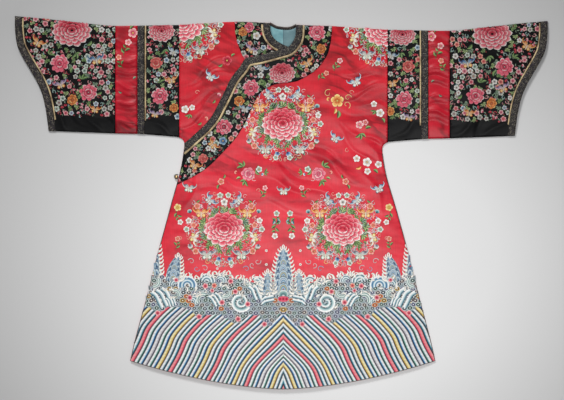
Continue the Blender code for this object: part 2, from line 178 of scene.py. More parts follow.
NECK_BAND_EDGE = [
    (-0.1415, 0.5168), (-0.1383, 0.4775), (-0.1279, 0.4415), (-0.11, 0.408), (-0.07, 0.385),
]
COLLAR_RUN = [
    (-0.135, 0.4), (-0.06, 0.426), (0.02, 0.448),
]

# The largest folds, as in the solids, and then the smaller creases
FOLDS = folds(
    (0.12, 0.12, 0.26, 0.026, -30, 0.0048), (0.06, 0.06, 0.3, 0.024, -22, 0.0042),
    (0.215, 0.235, 0.2, 0.024, -14, 0.0036), (0.225, 0.33, 0.2, 0.026, 12, 0.0034),
    (0.245, 0.165, 0.13, 0.018, -42, 0.0038), (-0.06, 0.02, 0.24, 0.026, -16, 0.0036),
    (-0.205, 0.33, 0.17, 0.022, 16, 0.003), (-0.24, 0.25, 0.12, 0.018, 22, 0.0032),
    (-0.455, 0.41, 0.1, 0.014, -8, 0.0026), (-0.455, 0.3, 0.1, 0.014, -6, 0.0026),
    (0.452, 0.39, 0.1, 0.014, 8, 0.0026), (0.452, 0.28, 0.1, 0.014, 6, 0.0026),
    (-0.15, -0.12, 0.2, 0.034, 12, 0.0022), (0.18, -0.09, 0.22, 0.034, -12, 0.0022),
)
CREASES = folds(
    (0.245, 0.4, 0.16, 0.01, 10, 0.001), (0.23, 0.372, 0.13, 0.009, -6, -0.0011),
    (0.262, 0.345, 0.11, 0.008, 14, 0.001), (0.2, 0.31, 0.12, 0.009, 18, -0.001),
    (0.255, 0.29, 0.1, 0.008, -8, 0.0011), (0.2, 0.265, 0.14, 0.009, -12, -0.001),
    (0.235, 0.2, 0.13, 0.008, -28, 0.0012), (0.262, 0.18, 0.09, 0.006, -40, -0.0013),
    (0.268, 0.15, 0.08, 0.006, -62, 0.0012), (0.225, 0.15, 0.14, 0.008, -46, -0.0011),
    (0.13, 0.146, 0.11, 0.008, -27, -0.0013), (0.15, 0.1, 0.16, 0.009, -32, -0.0011),
    (0.055, 0.078, 0.14, 0.009, -26, -0.0013), (0.085, 0.04, 0.16, 0.009, -24, 0.001),
    (0.015, 0.046, 0.12, 0.009, -16, -0.0011), (-0.01, 0.1, 0.1, 0.008, -34, 0.001),
    (-0.12, 0.085, 0.07, 0.008, -48, -0.001), (-0.165, 0.058, 0.1, 0.009, -18, 0.0011),
    (-0.19, 0.03, 0.12, 0.009, -14, -0.001), (-0.14, 0.01, 0.16, 0.01, -8, 0.0009),
    (-0.05, 0.13, 0.1, 0.008, -20, -0.001), (0.02, -0.02, 0.2, 0.012, -10, -0.0009),
    (-0.21, -0.06, 0.18, 0.012, 10, 0.0009), (0.22, -0.03, 0.18, 0.012, -14, -0.0009),
    (0.26, 0.05, 0.14, 0.009, -66, 0.001), (-0.262, 0.04, 0.12, 0.009, 70, 0.001),
    (-0.19, 0.405, 0.11, 0.008, 24, 0.0012), (-0.23, 0.36, 0.11, 0.008, 30, -0.0012),
    (-0.18, 0.37, 0.09, 0.008, 10, 0.001), (-0.215, 0.29, 0.12, 0.008, 34, 0.0012),
    (-0.262, 0.225, 0.1, 0.007, 30, -0.0012), (-0.27, 0.29, 0.08, 0.008, 20, 0.001),
    (-0.24, 0.45, 0.12, 0.01, 4, 0.001), (-0.455, 0.455, 0.07, 0.007, -10, 0.0023),
    (-0.455, 0.36, 0.08, 0.008, 6, -0.0023), (-0.452, 0.33, 0.07, 0.006, -12, 0.0023),
    (-0.456, 0.258, 0.08, 0.007, 4, -0.0023), (-0.45, 0.225, 0.07, 0.007, -6, 0.0019),
    (0.452, 0.44, 0.07, 0.007, 12, 0.0023), (0.452, 0.345, 0.08, 0.008, -4, -0.0023),
    (0.456, 0.318, 0.07, 0.006, 10, 0.0023), (0.45, 0.24, 0.08, 0.007, -6, -0.0023),
    (0.56, 0.4, 0.2, 0.02, 8, 0.0008), (0.58, 0.29, 0.18, 0.018, -10, -0.0008),
    (-0.56, 0.39, 0.2, 0.02, -8, 0.0008), (-0.58, 0.28, 0.18, 0.018, 12, -0.0008),
    (-0.36, 0.42, 0.14, 0.014, 10, 0.0008), (0.36, 0.33, 0.14, 0.014, -8, 0.0008),
    (-0.453, 0.492, 0.07, 0.006, 14, -0.0025), (-0.452, 0.43, 0.08, 0.006, -6, -0.0025),
    (-0.455, 0.405, 0.07, 0.005, 12, 0.0023), (-0.452, 0.384, 0.08, 0.006, 4, -0.0025),
    (-0.454, 0.303, 0.07, 0.006, -8, -0.0025), (-0.452, 0.282, 0.07, 0.005, 8, 0.0023),
    (0.453, 0.486, 0.07, 0.006, -14, -0.0025), (0.452, 0.462, 0.08, 0.006, 6, 0.0023),
    (0.455, 0.418, 0.07, 0.006, -8, -0.0025), (0.452, 0.398, 0.08, 0.005, 10, 0.0023),
    (0.454, 0.372, 0.07, 0.006, -4, -0.0025), (0.452, 0.292, 0.07, 0.006, 8, -0.0025),
    (0.454, 0.268, 0.07, 0.005, -10, 0.0023), (-0.635, 0.222, 0.1, 0.01, -52, 0.001),
    (-0.59, 0.224, 0.12, 0.009, -40, -0.001), (-0.545, 0.22, 0.1, 0.009, -58, 0.001),
    (-0.51, 0.226, 0.1, 0.008, -30, -0.0009), (-0.36, 0.214, 0.1, 0.009, -36, 0.001),
    (0.62, 0.224, 0.12, 0.01, 44, 0.001), (0.57, 0.222, 0.1, 0.009, 60, -0.001),
    (0.53, 0.226, 0.12, 0.009, 36, 0.001), (0.35, 0.216, 0.1, 0.009, 40, -0.001),
)


def smooth(points, spacing):
    """Points at an even spacing along a Catmull-Rom curve through the given ones."""
    given = np.array(points, float)
    ends = np.vstack([2 * given[0] - given[1], given, 2 * given[-1] - given[-2]])
    t = np.linspace(0, 1, 24, endpoint=False)[:, None]
    dense = [0.5 * (2 * b + (c - a) * t + (2 * a - 5 * b + 4 * c - d) * t**2
                    + (3 * b - a - 3 * c + d) * t**3)
             for a, b, c, d in zip(ends, ends[1:], ends[2:], ends[3:])]
    dense = np.vstack([*dense, given[-1:]])
    run = np.append(0, np.cumsum(np.linalg.norm(np.diff(dense, axis=0), axis=1)))
    at = np.linspace(0, run[-1], max(2, round(run[-1] / spacing) + 1))
    return np.stack([np.interp(at, run, dense[:, k]) for k in (0, 1)], 1)


def edges_of(*tables):
    return [smooth(table, EDGE_NET) for table in tables]


def sideways(line):
    """Unit vectors to the left of a line, at its points."""
    along = np.gradient(line, axis=0)
    along /= np.maximum(np.linalg.norm(along, axis=1), 1e-12)[:, None]
    return np.stack([-along[:, 1], along[:, 0]], 1)


def moved_out(line, far):
    return line + far * sideways(line)


def flip(line, way=-1):
    """The line, mirrored at the middle line where way is -1."""
    return line * np.array([way, 1.0])


def turning(degrees):
    """A matrix that turns rows of places by an angle."""
    c, s = math.cos(math.radians(degrees)), math.sin(math.radians(degrees))
    return np.array([[c, s], [-s, c]])


def polar(x, y, reach, angle, squash=1.0):
    """Places at a reach and an angle, in radians, from a point."""
    return np.stack([x + reach * np.cos(angle), y + squash * reach * np.sin(angle)], -1)


def eased(share):
    """A share, kept between 0 and 1, that starts and ends slowly."""
    share = np.clip(share, 0, 1)
    return share * share * (3 - 2 * share)


def joined(*lines):
    """One closed outline from lines that run on from each other."""
    points = np.vstack(lines)
    step = np.linalg.norm(points - np.roll(points, 1, axis=0), axis=1)
    return points[step > 1e-6]


def between(a, b):
    return np.linspace(a, b, max(2, round(math.dist(a, b) / EDGE_NET) + 1))


def direction(vector):
    return vector / np.linalg.norm(vector)


def run_on(line, ends=2):
    """A line made longer at its start or at both ends, so that it cuts right through a panel."""
    line = np.vstack([line[0] - OVERSHOOT * direction(line[1] - line[0]), line])
    if ends == 2:
        line = np.vstack([line, line[-1] + OVERSHOOT * direction(line[-1] - line[-2])])
    return line


def hem():
    across = np.linspace(0, HALF_HEM, round(HALF_HEM / EDGE_NET) + 1)
    return np.stack([across, HEM_LOW + HEM_RISE * (across / HALF_HEM) ** HEM_POWER], 1)


def arm_line():
    return between((ARM_SEAM, UNDER_EDGE[0][1]), (ARM_SEAM, TOP_EDGE[3][1]))


def half_body():
    side = joined(smooth(SIDE_SEAM, EDGE_NET), smooth(ARMPIT, EDGE_NET / 2))
    return joined(hem(), side, arm_line(), smooth(TOP_EDGE[:4], EDGE_NET)[::-1])


def whole_body():
    return joined(half_body(), flip(half_body())[::-1])


def sleeve():
    under, cuff, top = edges_of(UNDER_EDGE, CUFF_EDGE, TOP_EDGE[3:])
    return joined(under, cuff, top[::-1], arm_line()[::-1])


def seams(*places):
    """Straight seams at the given distances, on both sides."""
    return [flip(between((x, SEAM_LOW), (x, SEAM_HIGH)), way) for x in places for _, way in SIDES]


def back_neck(left=0.0, right=0.0, up=0.0):
    """The neckline of the back, dipping in the middle; its ends may reach further out and up."""
    half, low = 0.55 * NECK_HALF, NECK_TOP - 0.8 * BACK_NECK_DIP
    return smooth([(NECK_HALF + left, NECK_TOP + up), (half, low), (0, NECK_TOP - BACK_NECK_DIP),
                   (-half, low), (-NECK_HALF - right, NECK_TOP + up)], NECK_NET)


def inside(points, outline):
    """Whether each point lies within a closed outline."""
    x, y = points[:, 0], points[:, 1]
    found = np.zeros(len(points), bool)
    for (ax, ay), (bx, by) in zip(outline, np.roll(outline, -1, axis=0)):
        crosses = (ay > y) != (by > y)
        found ^= crosses & (x < (bx - ax) * (y - ay) / (by - ay + 1e-300) + ax)
    return found


def distance(points, line):
    """Distance from each point to a line of straight runs."""
    best = np.full(len(points), np.inf)
    for a, b in zip(line[:-1], line[1:]):
        run = b - a
        share = np.clip(((points - a) @ run) / max(run @ run, 1e-12), 0, 1)
        best = np.minimum(best, np.linalg.norm(points - a - share[:, None] * run, axis=1))
    return best


def doubled_area(points, faces):
    """Twice the signed area of each triangle."""
    one, two = (points[faces[:, k]] - points[faces[:, 0]] for k in (1, 2))
    return one[:, 0] * two[:, 1] - two[:, 0] * one[:, 1]


def staggered(low, high, spacing, rise):
    """A grid of places in rows, with every other row moved by half the spacing."""
    rows = np.arange(low[1], high[1], spacing * rise)
    return np.array([(x + (i % 2) * spacing / 2, y) for i, y in enumerate(rows)
                     for x in np.arange(low[0], high[0], spacing)])


def net(closed, lines, spacing):
    """A net of triangles along the closed outlines and the lines, and the triangles' middles."""
    lines = [np.vstack([outline, outline[:1]]) for outline in closed] + lines
    points, edges = [], []
    for line in lines:
        first = len(points)
        points += [tuple(p) for p in line]
        edges += [(first + i, first + i + 1) for i in range(len(line) - 1)]
    grid = staggered(np.min(points, axis=0), np.max(points, axis=0), spacing, math.sqrt(3) / 2)
    grid = grid[np.any([inside(grid, outline) for outline in closed], axis=0)]
    clear = np.all([distance(grid, line) > 0.45 * spacing for line in lines], axis=0)
    points += [tuple(p) for p in grid[clear]]
    made = delaunay_2d_cdt(points, edges, [], 0, MERGE)
    points, faces = np.array([tuple(v) for v in made[0]]), np.array(made[2])
    area = doubled_area(points, faces)
    faces[area < 0] = faces[area < 0][:, ::-1]
    faces = faces[np.abs(area) > SLIVER]
    return points, faces, points[faces].mean(axis=1)


# Where the cloth lies

def laid(points):
    """Where points of the cut lie on the surface."""
    x, y = points[:, 0], points[:, 1]
    fade = eased((y - SKEW_FOOT) / (SKEW_HEAD - SKEW_FOOT))
    beyond = np.maximum(np.abs(x) - ARM_SEAM, 0)
    return np.stack([x - REACH * beyond + MIDDLE_X,
                     y - SKEW * np.tanh(x / SKEW_SPREAD) * fade + MIDDLE_Y], 1)


def fold_height(points, table, crooked=False):
    """Height of soft ridges and troughs; crooked ones bend, and are steeper on one side."""
    total = np.zeros(len(points))
    for fold in table:
        along, across = ((points - (fold.x, fold.y)) @ turning(-fold.turn)).T
        away = (across / fold.width) ** 2
        if crooked:
            across = across + 0.07 * fold.length * np.sin(5.5 * along / fold.length + 40 * fold.x)
            away = np.abs(across / (np.where(across > 0, 0.55, 1.25) * fold.width)) ** 1.5
        total += fold.rise * np.exp(-((2 * along / fold.length) ** 2) - away)
    return total


HEAD = smooth(TOP_EDGE, 0.02)
FOOT = np.vstack([smooth(SIDE_SEAM, 0.02), smooth(ARMPIT, 0.01), smooth(UNDER_EDGE, 0.02)])
SEWN = [flip(line, way) for way in (1, -1) for line in (HEAD, FOOT)]
COLLAR = smooth(COLLAR_RUN, 0.02)


def low_height(cut):
    """Height of the underside of the lower front layer and of the sleeves."""
    edge = np.min([distance(cut, line) for line in SEWN], axis=0)
    from_neck = np.hypot(cut[:, 0], cut[:, 1] - NECK_PUFF_Y)
    neck = NECK_PUFF * np.exp(-((from_neck / NECK_PUFF_RUN) ** 4))
    swell = (PUFF + fold_height(cut, FOLDS)) * (1 - np.exp(-edge / PUFF_RUN))
    creases = CREASE_DEPTH * fold_height(cut, CREASES, True) * (1 - np.exp(-edge / (0.25 * PUFF_RUN)))
    return WALL + LAYER_GAP + neck + swell + np.maximum(creases, -0.8 * swell)


def high_height(cut):
    """Height of the underside of the outer front."""
    step = OVERLAP_STEP * (1 - eased((cut[:, 0] - OVERLAP_FROM) / (OVERLAP_TO - OVERLAP_FROM)))
    collar = COLLAR_LIFT * np.exp(-((distance(cut, COLLAR) / COLLAR_LIFT_RUN) ** 4))
    return low_height(cut) + step + collar


# Cloth pieces

def make_object(name, points, faces, look, nodes=(), colours=None, threads=None):
    """A smooth piece that rides on the robe and shows the given solids."""
    mesh = bpy.data.meshes.new(name)
    mesh.from_pydata([tuple(p) for p in points], [], [tuple(int(v) for v in f) for f in faces])
    for polygon in mesh.polygons:
        polygon.use_smooth = True
    if colours is not None:
        layer = mesh.color_attributes.new("thread_colour", "FLOAT_COLOR", "POINT")
        covered = np.column_stack([colours, np.ones(len(colours))])
        layer.data.foreach_set("color", covered.astype(np.float32).ravel())
        corner = np.zeros(len(mesh.loops), np.int32)
        mesh.loops.foreach_get("vertex_index", corner)
        layer = mesh.uv_layers.new(name="thread")
        layer.data.foreach_set("uv", threads.astype(np.float32)[corner].ravel())
    mesh.materials.append(look)
    made = bpy.data.objects.new(name, mesh)
    bpy.context.scene.collection.objects.link(made)
    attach(made, "root")
    if nodes:
        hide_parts(*nodes)
    return made


def rim_of(faces):
    """The directed edges that border the chosen faces."""
    edges = {(int(f[i]), int(f[(i + 1) % 3])) for f in faces for i in range(3)}
    return [edge for edge in edges if (edge[1], edge[0]) not in edges]


def numbered(used, count):
    """New numbers for the points that are used."""
    number = np.full(count, -1)
    number[used] = np.arange(len(used))
    return number


def cloth(name, points, faces, under, wall, look, nodes, rests_on):
    """A cloth shell over the chosen faces: its upper side, and a turned-down edge as thick as it."""
    used = np.unique(faces)
    number = numbered(used, len(points))
    top = np.broadcast_to(under + wall, len(points))
    upper = np.column_stack([laid(points[used]), top[used]])
    rim = rim_of(faces)
    corners = sorted({corner for edge in rim for corner in edge})
    below = {corner: len(used) + i for i, corner in enumerate(corners)}
    lower = upper[number[corners]] - (0, 0, wall)
    turned_down = [(number[b], number[a], below[a], below[b]) for a, b in rim]
    made = make_object(name, np.vstack([upper, lower]), [*number[faces], *turned_down], look, nodes)
    declare(points[used], doubled_area(points, faces))
    return made


def declare(points, doubled):
    """Works out the flat cut of a cloth piece, where a slanting strip counts as one as long as its slant;
    the result is not kept or used.
    """
    width, length = (float(v) for v in np.ptp(points, axis=0))
    area = 0.5 * float(np.abs(doubled).sum())
    if area < 0.4 * width * length:
        width = math.hypot(width, length)
        length = area / width


# Materials

def linear(colour):
    """A colour in the shader's own scale, from screen values of 0 to 255."""
    value = np.asarray(colour, float) / 255
    return np.where(value <= 0.04045, value / 12.92, ((value + 0.055) / 1.055) ** 2.4)


def colour4(colour):
    """The same for a socket; a single number stands for a grey."""
    return (*(float(v) for v in linear(np.broadcast_to(colour, 3))), 1.0)


class Look:
    """A material under construction: short calls that add nodes and join them."""

    def __init__(self, name, roughness, specular, metallic=0.0):
        self.material = bpy.data.materials.new(name)
        self.material.use_nodes = True
        self.nodes, self.links = self.material.node_tree.nodes, self.material.node_tree.links
        self.shader = self.nodes["Principled BSDF"]
        self.shader.inputs["Roughness"].default_value = roughness
        self.shader.inputs["Specular IOR Level"].default_value = specular
        self.shader.inputs["Metallic"].default_value = metallic

    def feed(self, socket, value):
        if isinstance(value, bpy.types.NodeSocket):
            self.links.new(value, socket)
        else:
            socket.default_value = value

    def add(self, kind, **values):
        """A node with the given settings; a name with a capital is an input."""
        node = self.nodes.new(kind)
        for key, value in values.items():
            if hasattr(node, key):
                setattr(node, key, value)
            else:
                self.feed(node.inputs[key], value)
        return node

    def place(self, scale=(1, 1, 1), turn=0.0, source="Object", **values):
        """Coordinates on the piece, in metres, scaled and turned."""
        coordinates = self.add("ShaderNodeTexCoord").outputs[source]
        return self.add("ShaderNodeMapping", Vector=coordinates, Scale=scale, Rotation=(0, 0, turn),
                        **values).outputs["Vector"]

    def noise(self, scale, detail=3.0, stretch=(1, 1, 1), turn=0.0, roughness=0.5):
        return self.add("ShaderNodeTexNoise", Scale=scale, Detail=detail, Roughness=roughness,
                        Vector=self.place(stretch, turn)).outputs["Fac"]

    def wave(self, scale, distortion, **place):
        return self.add("ShaderNodeTexWave", Scale=scale, Distortion=distortion,
                        Vector=self.place(**place)).outputs["Fac"]

    def ramp(self, value, *stops):
        """A colour ramp; stops are (place, screen colour or grey)."""
        node = self.add("ShaderNodeValToRGB", Fac=value)
        ramp = node.color_ramp
        while len(ramp.elements) < len(stops):
            ramp.elements.new(0.5)
        for element, (place, colour) in zip(ramp.elements, stops):
            element.position = place
            element.color = colour4(colour)
        return node.outputs["Color"]

    def mix(self, share, a, b, how="MIX"):
        node = self.add("ShaderNodeMix", data_type="RGBA", blend_type=how)
        for k, value in ((0, share), (6, a), (7, b)):
            self.feed(node.inputs[k], value)
        return node.outputs[2]

    def math(self, how, a, b):
        node = self.add("ShaderNodeMath", operation=how)
        for k, value in enumerate((a, b)):
            self.feed(node.inputs[k], value)
        return node.outputs[0]

    def bump(self, height, strength, depth):
        node = self.add("ShaderNodeBump", Strength=strength, Distance=depth, Height=height)
        last = self.shader.inputs["Normal"]
        if last.is_linked:
            self.feed(node.inputs["Normal"], last.links[0].from_socket)
        self.feed(last, node.outputs["Normal"])

    def paint(self, colour):
        self.feed(self.shader.inputs["Base Color"], colour)


def satin(name, stops, roughness, rumple, specular, painted_top_shade=255, painted_crease_shade=255):
    """Silk satin: a mottled colour (in the red satins painted fold shade and painted sheen), painted shade
    towards the top and painted crease lines where asked for, long fine floats of thread, small creases in
    the bump.
    """
    look = Look(name, roughness, specular)
    # In the red satins these slanting darker and lighter patches are painted fold shade and painted sheen.
    painted_folds_and_sheen = look.ramp(look.noise(9.0, 5.0, (0.6, 1.9, 1), 0.3, 0.6), *stops)
    height = look.add("ShaderNodeSeparateXYZ", Vector=look.place()).outputs["Y"]
    # Painted shade: the colour is multiplied by a tint that grows towards the top of the robe.
    painted_top_darkening = look.ramp(height, (0.12, 255), (0.46, painted_top_shade))
    # The painted crease shade shows fully from a little above the middle of the robe and faintly below it.
    more = look.ramp(height, (0.0, 110), (0.16, 255))
    floats = look.noise(420.0, 2.0, (1, 0.06, 1))
    woven = look.mix(0.5, painted_folds_and_sheen, look.ramp(floats, (0.30, 220), (0.70, 255)), "MULTIPLY")
    # The colour is multiplied by the painted crease lines.
    with_painted_creases = look.mix(more, woven, fine_creases(look, painted_crease_shade), "MULTIPLY")
    look.paint(look.mix(1.0, with_painted_creases, painted_top_darkening, "MULTIPLY"))
    look.bump(look.noise(8.0, 2.0, (0.7, 1.5, 1), 0.35), rumple, 0.016)
    look.bump(look.noise(46.0, 2.0, (0.7, 1.3, 1), -0.3), 0.3 * rumple, 0.003)
    look.bump(floats, 0.2, 0.0002)
    return look.material


def fine_creases(look, painted_crease_shade):
    """Painted crease shade: short slanting dark lines, here and there on white."""
    slant = look.place((1.9, 0.6, 1), -0.45, vector_type="TEXTURE")
    bent = look.add("ShaderNodeTexNoise", Scale=12.0, Detail=3.0, Roughness=0.5, Vector=slant)
    lines = look.ramp(bent.outputs["Fac"], (0.44, 255), (0.485, painted_crease_shade), (0.505, painted_crease_shade), (0.57, 255))
    some = look.ramp(look.noise(7.0, 2.0), (0.42, 0), (0.58, 255))
    return look.mix(some, colour4(255), lines)


def brocade():
    """Dark woven ribbon with a fine metallic figure of dots."""
    look = Look("brocade", 0.5, 0.2)
    cells = look.add("ShaderNodeTexVoronoi", Scale=300.0, Randomness=0.85,
                     Vector=look.place()).outputs["Distance"]
    figure = look.ramp(cells, (0.16, (142, 134, 120)), (0.50, (30, 28, 30)))
    tint = look.ramp(look.noise(170.0), (0.34, (52, 44, 56)), (0.5, (26, 24, 26)), (0.66, (68, 66, 58)))
    fleck = look.ramp(look.noise(120.0, 2.0), (0.40, 60), (0.58, 255))
    look.paint(look.mix(fleck, tint, figure))
    look.bump(cells, 0.5, 0.0006)
    return look.material


def cord_look():
    """Cream and gold silk piping with a fine slanting twist; along the twist it runs from gold to pale
    cream, and the palest cream is partly painted highlight.
    """
    look = Look("cream_piping", 0.4, 0.4)
    twist = look.wave(150.0, 2.5, turn=0.8)
    # The pale cream end of this ramp is partly painted highlight on the twisted strands.
    tone = look.ramp(twist, (0.1, (160, 132, 96)), (0.6, (238, 220, 178)))
    worn = look.ramp(look.noise(36.0), (0.38, (140, 118, 100)), (0.60, (255, 250, 238)))
    look.paint(look.mix(0.8, tone, worn, "MULTIPLY"))
    look.bump(twist, 0.6, 0.0005)
    return look.material


def lining_look():
    """Blue-green lining silk with a middle seam, greyer to the wearer's left of it."""
    look = Look("blue_lining", 0.5, 0.3)
    tone = look.ramp(look.noise(30.0, 5.0), (0.3, (88, 138, 148)), (0.7, (148, 194, 198)))
    across = look.add("ShaderNodeSeparateXYZ", Vector=look.place()).outputs["X"]
    beyond = look.math("SUBTRACT", across, MIDDLE_X)
    share = look.math("MULTIPLY", look.math("GREATER_THAN", beyond, 0.0), 0.62)
    halves = look.mix(share, tone, colour4((84, 102, 110)))
    sewn = look.math("LESS_THAN", look.math("ABSOLUTE", beyond, 0.0), 0.0011)
    look.paint(look.mix(look.math("MULTIPLY", sewn, 0.55), halves, colour4((56, 70, 84))))
    look.bump(look.noise(40.0, 3.0, (1, 2, 1)), 0.6, 0.004)
    look.bump(look.noise(700.0, 1.0, (1, 0.2, 1)), 0.3, 0.0002)
    return look.material


def thread_look():
    """Embroidery silk: the colours of the stitches, with fine threads along their own direction."""
    look = Look("embroidery_silk", 0.5, 0.35)
    colour = look.add("ShaderNodeVertexColor", layer_name="thread_colour").outputs["Color"]
    thread = look.wave(1.0, 0.6, source="UV")
    shade = look.ramp(thread, (0.0, (240, 238, 238)), (0.55, 255))
    wear = look.ramp(look.noise(240.0), (0.30, (244, 242, 242)), (0.62, 255))
    look.paint(look.mix(0.8, look.mix(0.8, colour, shade, "MULTIPLY"), wear, "MULTIPLY"))
    look.bump(thread, 0.5, 0.0003)
    return look.material


def grained(name, roughness, specular, metallic, stops, scale, grain, bump):
    """A plain look with a mottled colour and a fine grain."""
    look = Look(name, roughness, specular, metallic)
    look.paint(look.ramp(look.noise(scale), *stops))
    look.bump(look.noise(*grain), *bump)
    return look.material


def floor_look():
    """Pale paper with a painted fall-off of light: darker towards its edges."""
    look = Look("pale_floor_painted_falloff", 0.9, 0.1)
    place = look.place((0.75, 1.0, 0.0), Location=(-0.12, 0.16, 0.0))
    around = look.add("ShaderNodeVectorMath", operation="LENGTH", Vector=place).outputs["Value"]
    # Painted light fall-off: the paper darkens with distance from a point near the robe's middle.
    look.paint(look.ramp(around, (0.35, 228), (1.0, 184)))
    return look.material


# In the red satins the colour stops are painted fold shade and sheen, the tint of the first is painted
# shade on the upper robe, and the last number of each is the painted crease shade.
RED = satin("red_satin_painted_shade", [(0.34, (174, 20, 40)), (0.45, (211, 32, 52)), (0.57, (226, 44, 62)),
                          (0.74, (238, 66, 80))], 0.40, 0.34, 0.24, (236, 172, 186), 190)
RED_SLEEVE = satin("red_sleeve_satin", [(0.28, (170, 12, 32)), (0.5, (194, 20, 42)),
                                        (0.75, (214, 36, 56))], 0.40, 0.32, 0.25, painted_crease_shade=168)
BLACK = satin("black_satin", [(0.3, (2, 2, 3)), (0.7, (8, 8, 10))], 0.44, 0.25, 0.13)
BROCADE = brocade()
CORD = cord_look()
BLUE = lining_look()
THREAD = thread_look()
GILT = grained("gilt_brass", 0.3, 0.5, 1.0, [(0.3, (150, 112, 58)), (0.7, (236, 210, 156))], 500.0,
               (700.0, 2.0), (0.4, 0.0004))
EDGING = grained("dark_edging", 0.6, 0.2, 0.0, [(0.3, (44, 40, 42)), (0.7, (104, 94, 88))], 90.0,
                 (900.0, 1.0), (0.4, 0.0002))


# The robe's cloths and trims

def sleeve_parts(middle, way):
    """A sleeve's black upper band, red band and black cuff: name, chosen triangles and look."""
    out = middle[:, 0] * way
    arm = inside(middle, flip(sleeve(), way))
    return [(piece, arm & (out > near) & (out < far), look) for piece, near, far, look in (
        ("band", ARM_SEAM, RED_SEAM, BLACK), ("red", RED_SEAM, CUFF_SEAM, RED_SLEEVE),
        ("cuff", CUFF_SEAM, FAR, BLACK))]


def front_pieces():
    """The front's cloth, bands and ribbons."""
    body, left = whole_body(), sleeve()
    lapel, band, cuff = (run_on(edge) for edge in edges_of(LAPEL_EDGE, LAPEL_BAND_EDGE, CUFF_EDGE))
    neck, collar = (run_on(edge, 1) for edge in edges_of(INNER_NECK, NECK_BAND_EDGE))
    foot = hem() + (0, INNER_FRONT_SHORTER)
    foot = joined(flip(foot)[::-1], foot)
    foot = foot[foot[:, 0] < INNER_FRONT_REACH]
    foot = np.vstack([foot[0] - (FOOT_RUN_ON, 0), foot, (INNER_FRONT_REACH, foot[-1][1])])
    opening = between(neck[-1], foot[-1])
    tucked = moved_out(lapel, TUCK)
    lapel_trim, neck_trim = moved_out(lapel, RIBBON_WIDTH), moved_out(neck[::-1], RIBBON_WIDTH)
    cuff_trim = moved_out(cuff, RIBBON_WIDTH)
    lines = [lapel, band, neck, collar, foot, opening, tucked, lapel_trim, neck_trim,
             *seams(RED_SEAM - RIBBON_WIDTH, RED_SEAM, CUFF_SEAM), cuff_trim, flip(cuff_trim)]
    points, faces, middle = net([body, left, flip(left)[::-1]], lines, NET)

    def within(*outline):
        return inside(middle, np.vstack(outline))

    left_corner, right_corner, low_right = (FAR, FAR), (-FAR, FAR), (-FAR, -FAR)
    outer = within(body) & within(lapel, low_right, (FAR, -FAR), left_corner)
    inner = within(body) & within(neck, opening, foot[::-1], low_right, right_corner)
    on_lapel = outer & within(lapel, band[::-1])
    on_neck = inner & within(neck, collar[::-1]) & within(tucked, low_right, right_corner,
                                                          (tucked[0][0], FAR))
    low, high = low_height(points), high_height(points)
    step = WALL + LAYER_GAP
    on_band = step + BAND_WALL + LAYER_GAP

    cloths = [
        ("outer_front", outer, high, WALL, RED, ("front_left", "front_right"), "inner_front"),
        ("inner_front_cloth", inner, low, WALL, RED, ("inner_front",), "back_left"),
        ("lapel_black_band", on_lapel, high + step, BAND_WALL, BLACK, ("lapel_band",), "front_left"),
        ("neck_black_band", on_neck, low + step, BAND_WALL, BLACK, ("neck_band",), "inner_front"),
    ]
    trims = [
        ("lapel_brocade", on_lapel & within(lapel, lapel_trim[::-1]), high + on_band, RIBBON_WALL,
         BROCADE, ("lapel_ribbon",), "lapel_black_band"),
        ("neck_brocade", on_neck & within(neck[::-1], neck_trim[::-1]), low + on_band, RIBBON_WALL,
         BROCADE, ("neck_ribbon",), "neck_black_band"),
    ]
    for side, way in SIDES:
        parts = sleeve_parts(middle, way)
        band_part, _, cuff_part = (chosen for _, chosen, _ in parts)
        cloths += [(f"sleeve_{piece}_{side}_cloth", chosen, low, WALL, look,
                    (f"sleeve_{piece}_{side}",), f"sleeve_{piece}_{side}_back")
                   for piece, chosen, look in parts]
        beside = {"band": band_part & (middle[:, 0] * way > RED_SEAM - RIBBON_WIDTH),
                  "cuff": cuff_part & within(flip(cuff, way), flip(cuff_trim, way)[::-1])}
        trims += [(f"{piece}_brocade_{side}", chosen, low + step, RIBBON_WALL, BROCADE,
                   (f"{piece}_ribbon_{side}",), f"sleeve_{piece}_{side}_cloth")
                  for piece, chosen in beside.items()]
    made = {name: cloth(name, points, faces[chosen], *rest) for name, chosen, *rest in cloths + trims}
    return made, lapel, neck, cuff


def back_pieces():
    """The back of the body and sleeves, flat on the surface, and the lining at the neck."""
    half, neck, left = half_body(), back_neck(), sleeve()
    body = joined(half, neck, flip(half)[::-1])
    points, faces, middle = net([body, left, flip(left)[::-1]], seams(RED_SEAM, CUFF_SEAM), BACK_NET)
    cloth("back_cloth", points, faces[inside(middle, body)], 0.0, WALL, RED,
          ("back_left", "back_right"), "floor")
    for side, way in SIDES:
        for piece, chosen, look in sleeve_parts(middle, way):
            name = f"sleeve_{piece}_{side}_back"
            cloth(f"{name}_cloth", points, faces[chosen], 0.0, WALL, look, (name,), "floor")

    rim = moved_out(neck, RIBBON_WIDTH / 3)
    foot = [(-LINING_HALF, rim[-1][1]), (-LINING_HALF, LINING_FOOT), (LINING_HALF, LINING_FOOT),
            (LINING_HALF, rim[0][1])]
    for name, look, outline, node in (
        ("neck_rim", BROCADE, joined(neck, rim[::-1]), "back_neck_ribbon"),
        ("neck_lining", BLUE, joined(rim, foot), "back_lining"),
    ):
        points, faces, middle = net([outline], [], THIN_NET)
        cloth(name, points, faces[inside(middle, outline)], WALL + LAYER_GAP, THIN_WALL, look, (node,),
              "back_cloth")


def grid_faces(rows, columns, first=0):
    """Four-cornered faces between rows and columns of points."""
    i, j = np.meshgrid(np.arange(rows - 1), np.arange(columns - 1), indexing="ij")
    a = (i * columns + j).ravel() + first
    return np.stack([a, a + 1, a + columns + 1, a + columns], 1)


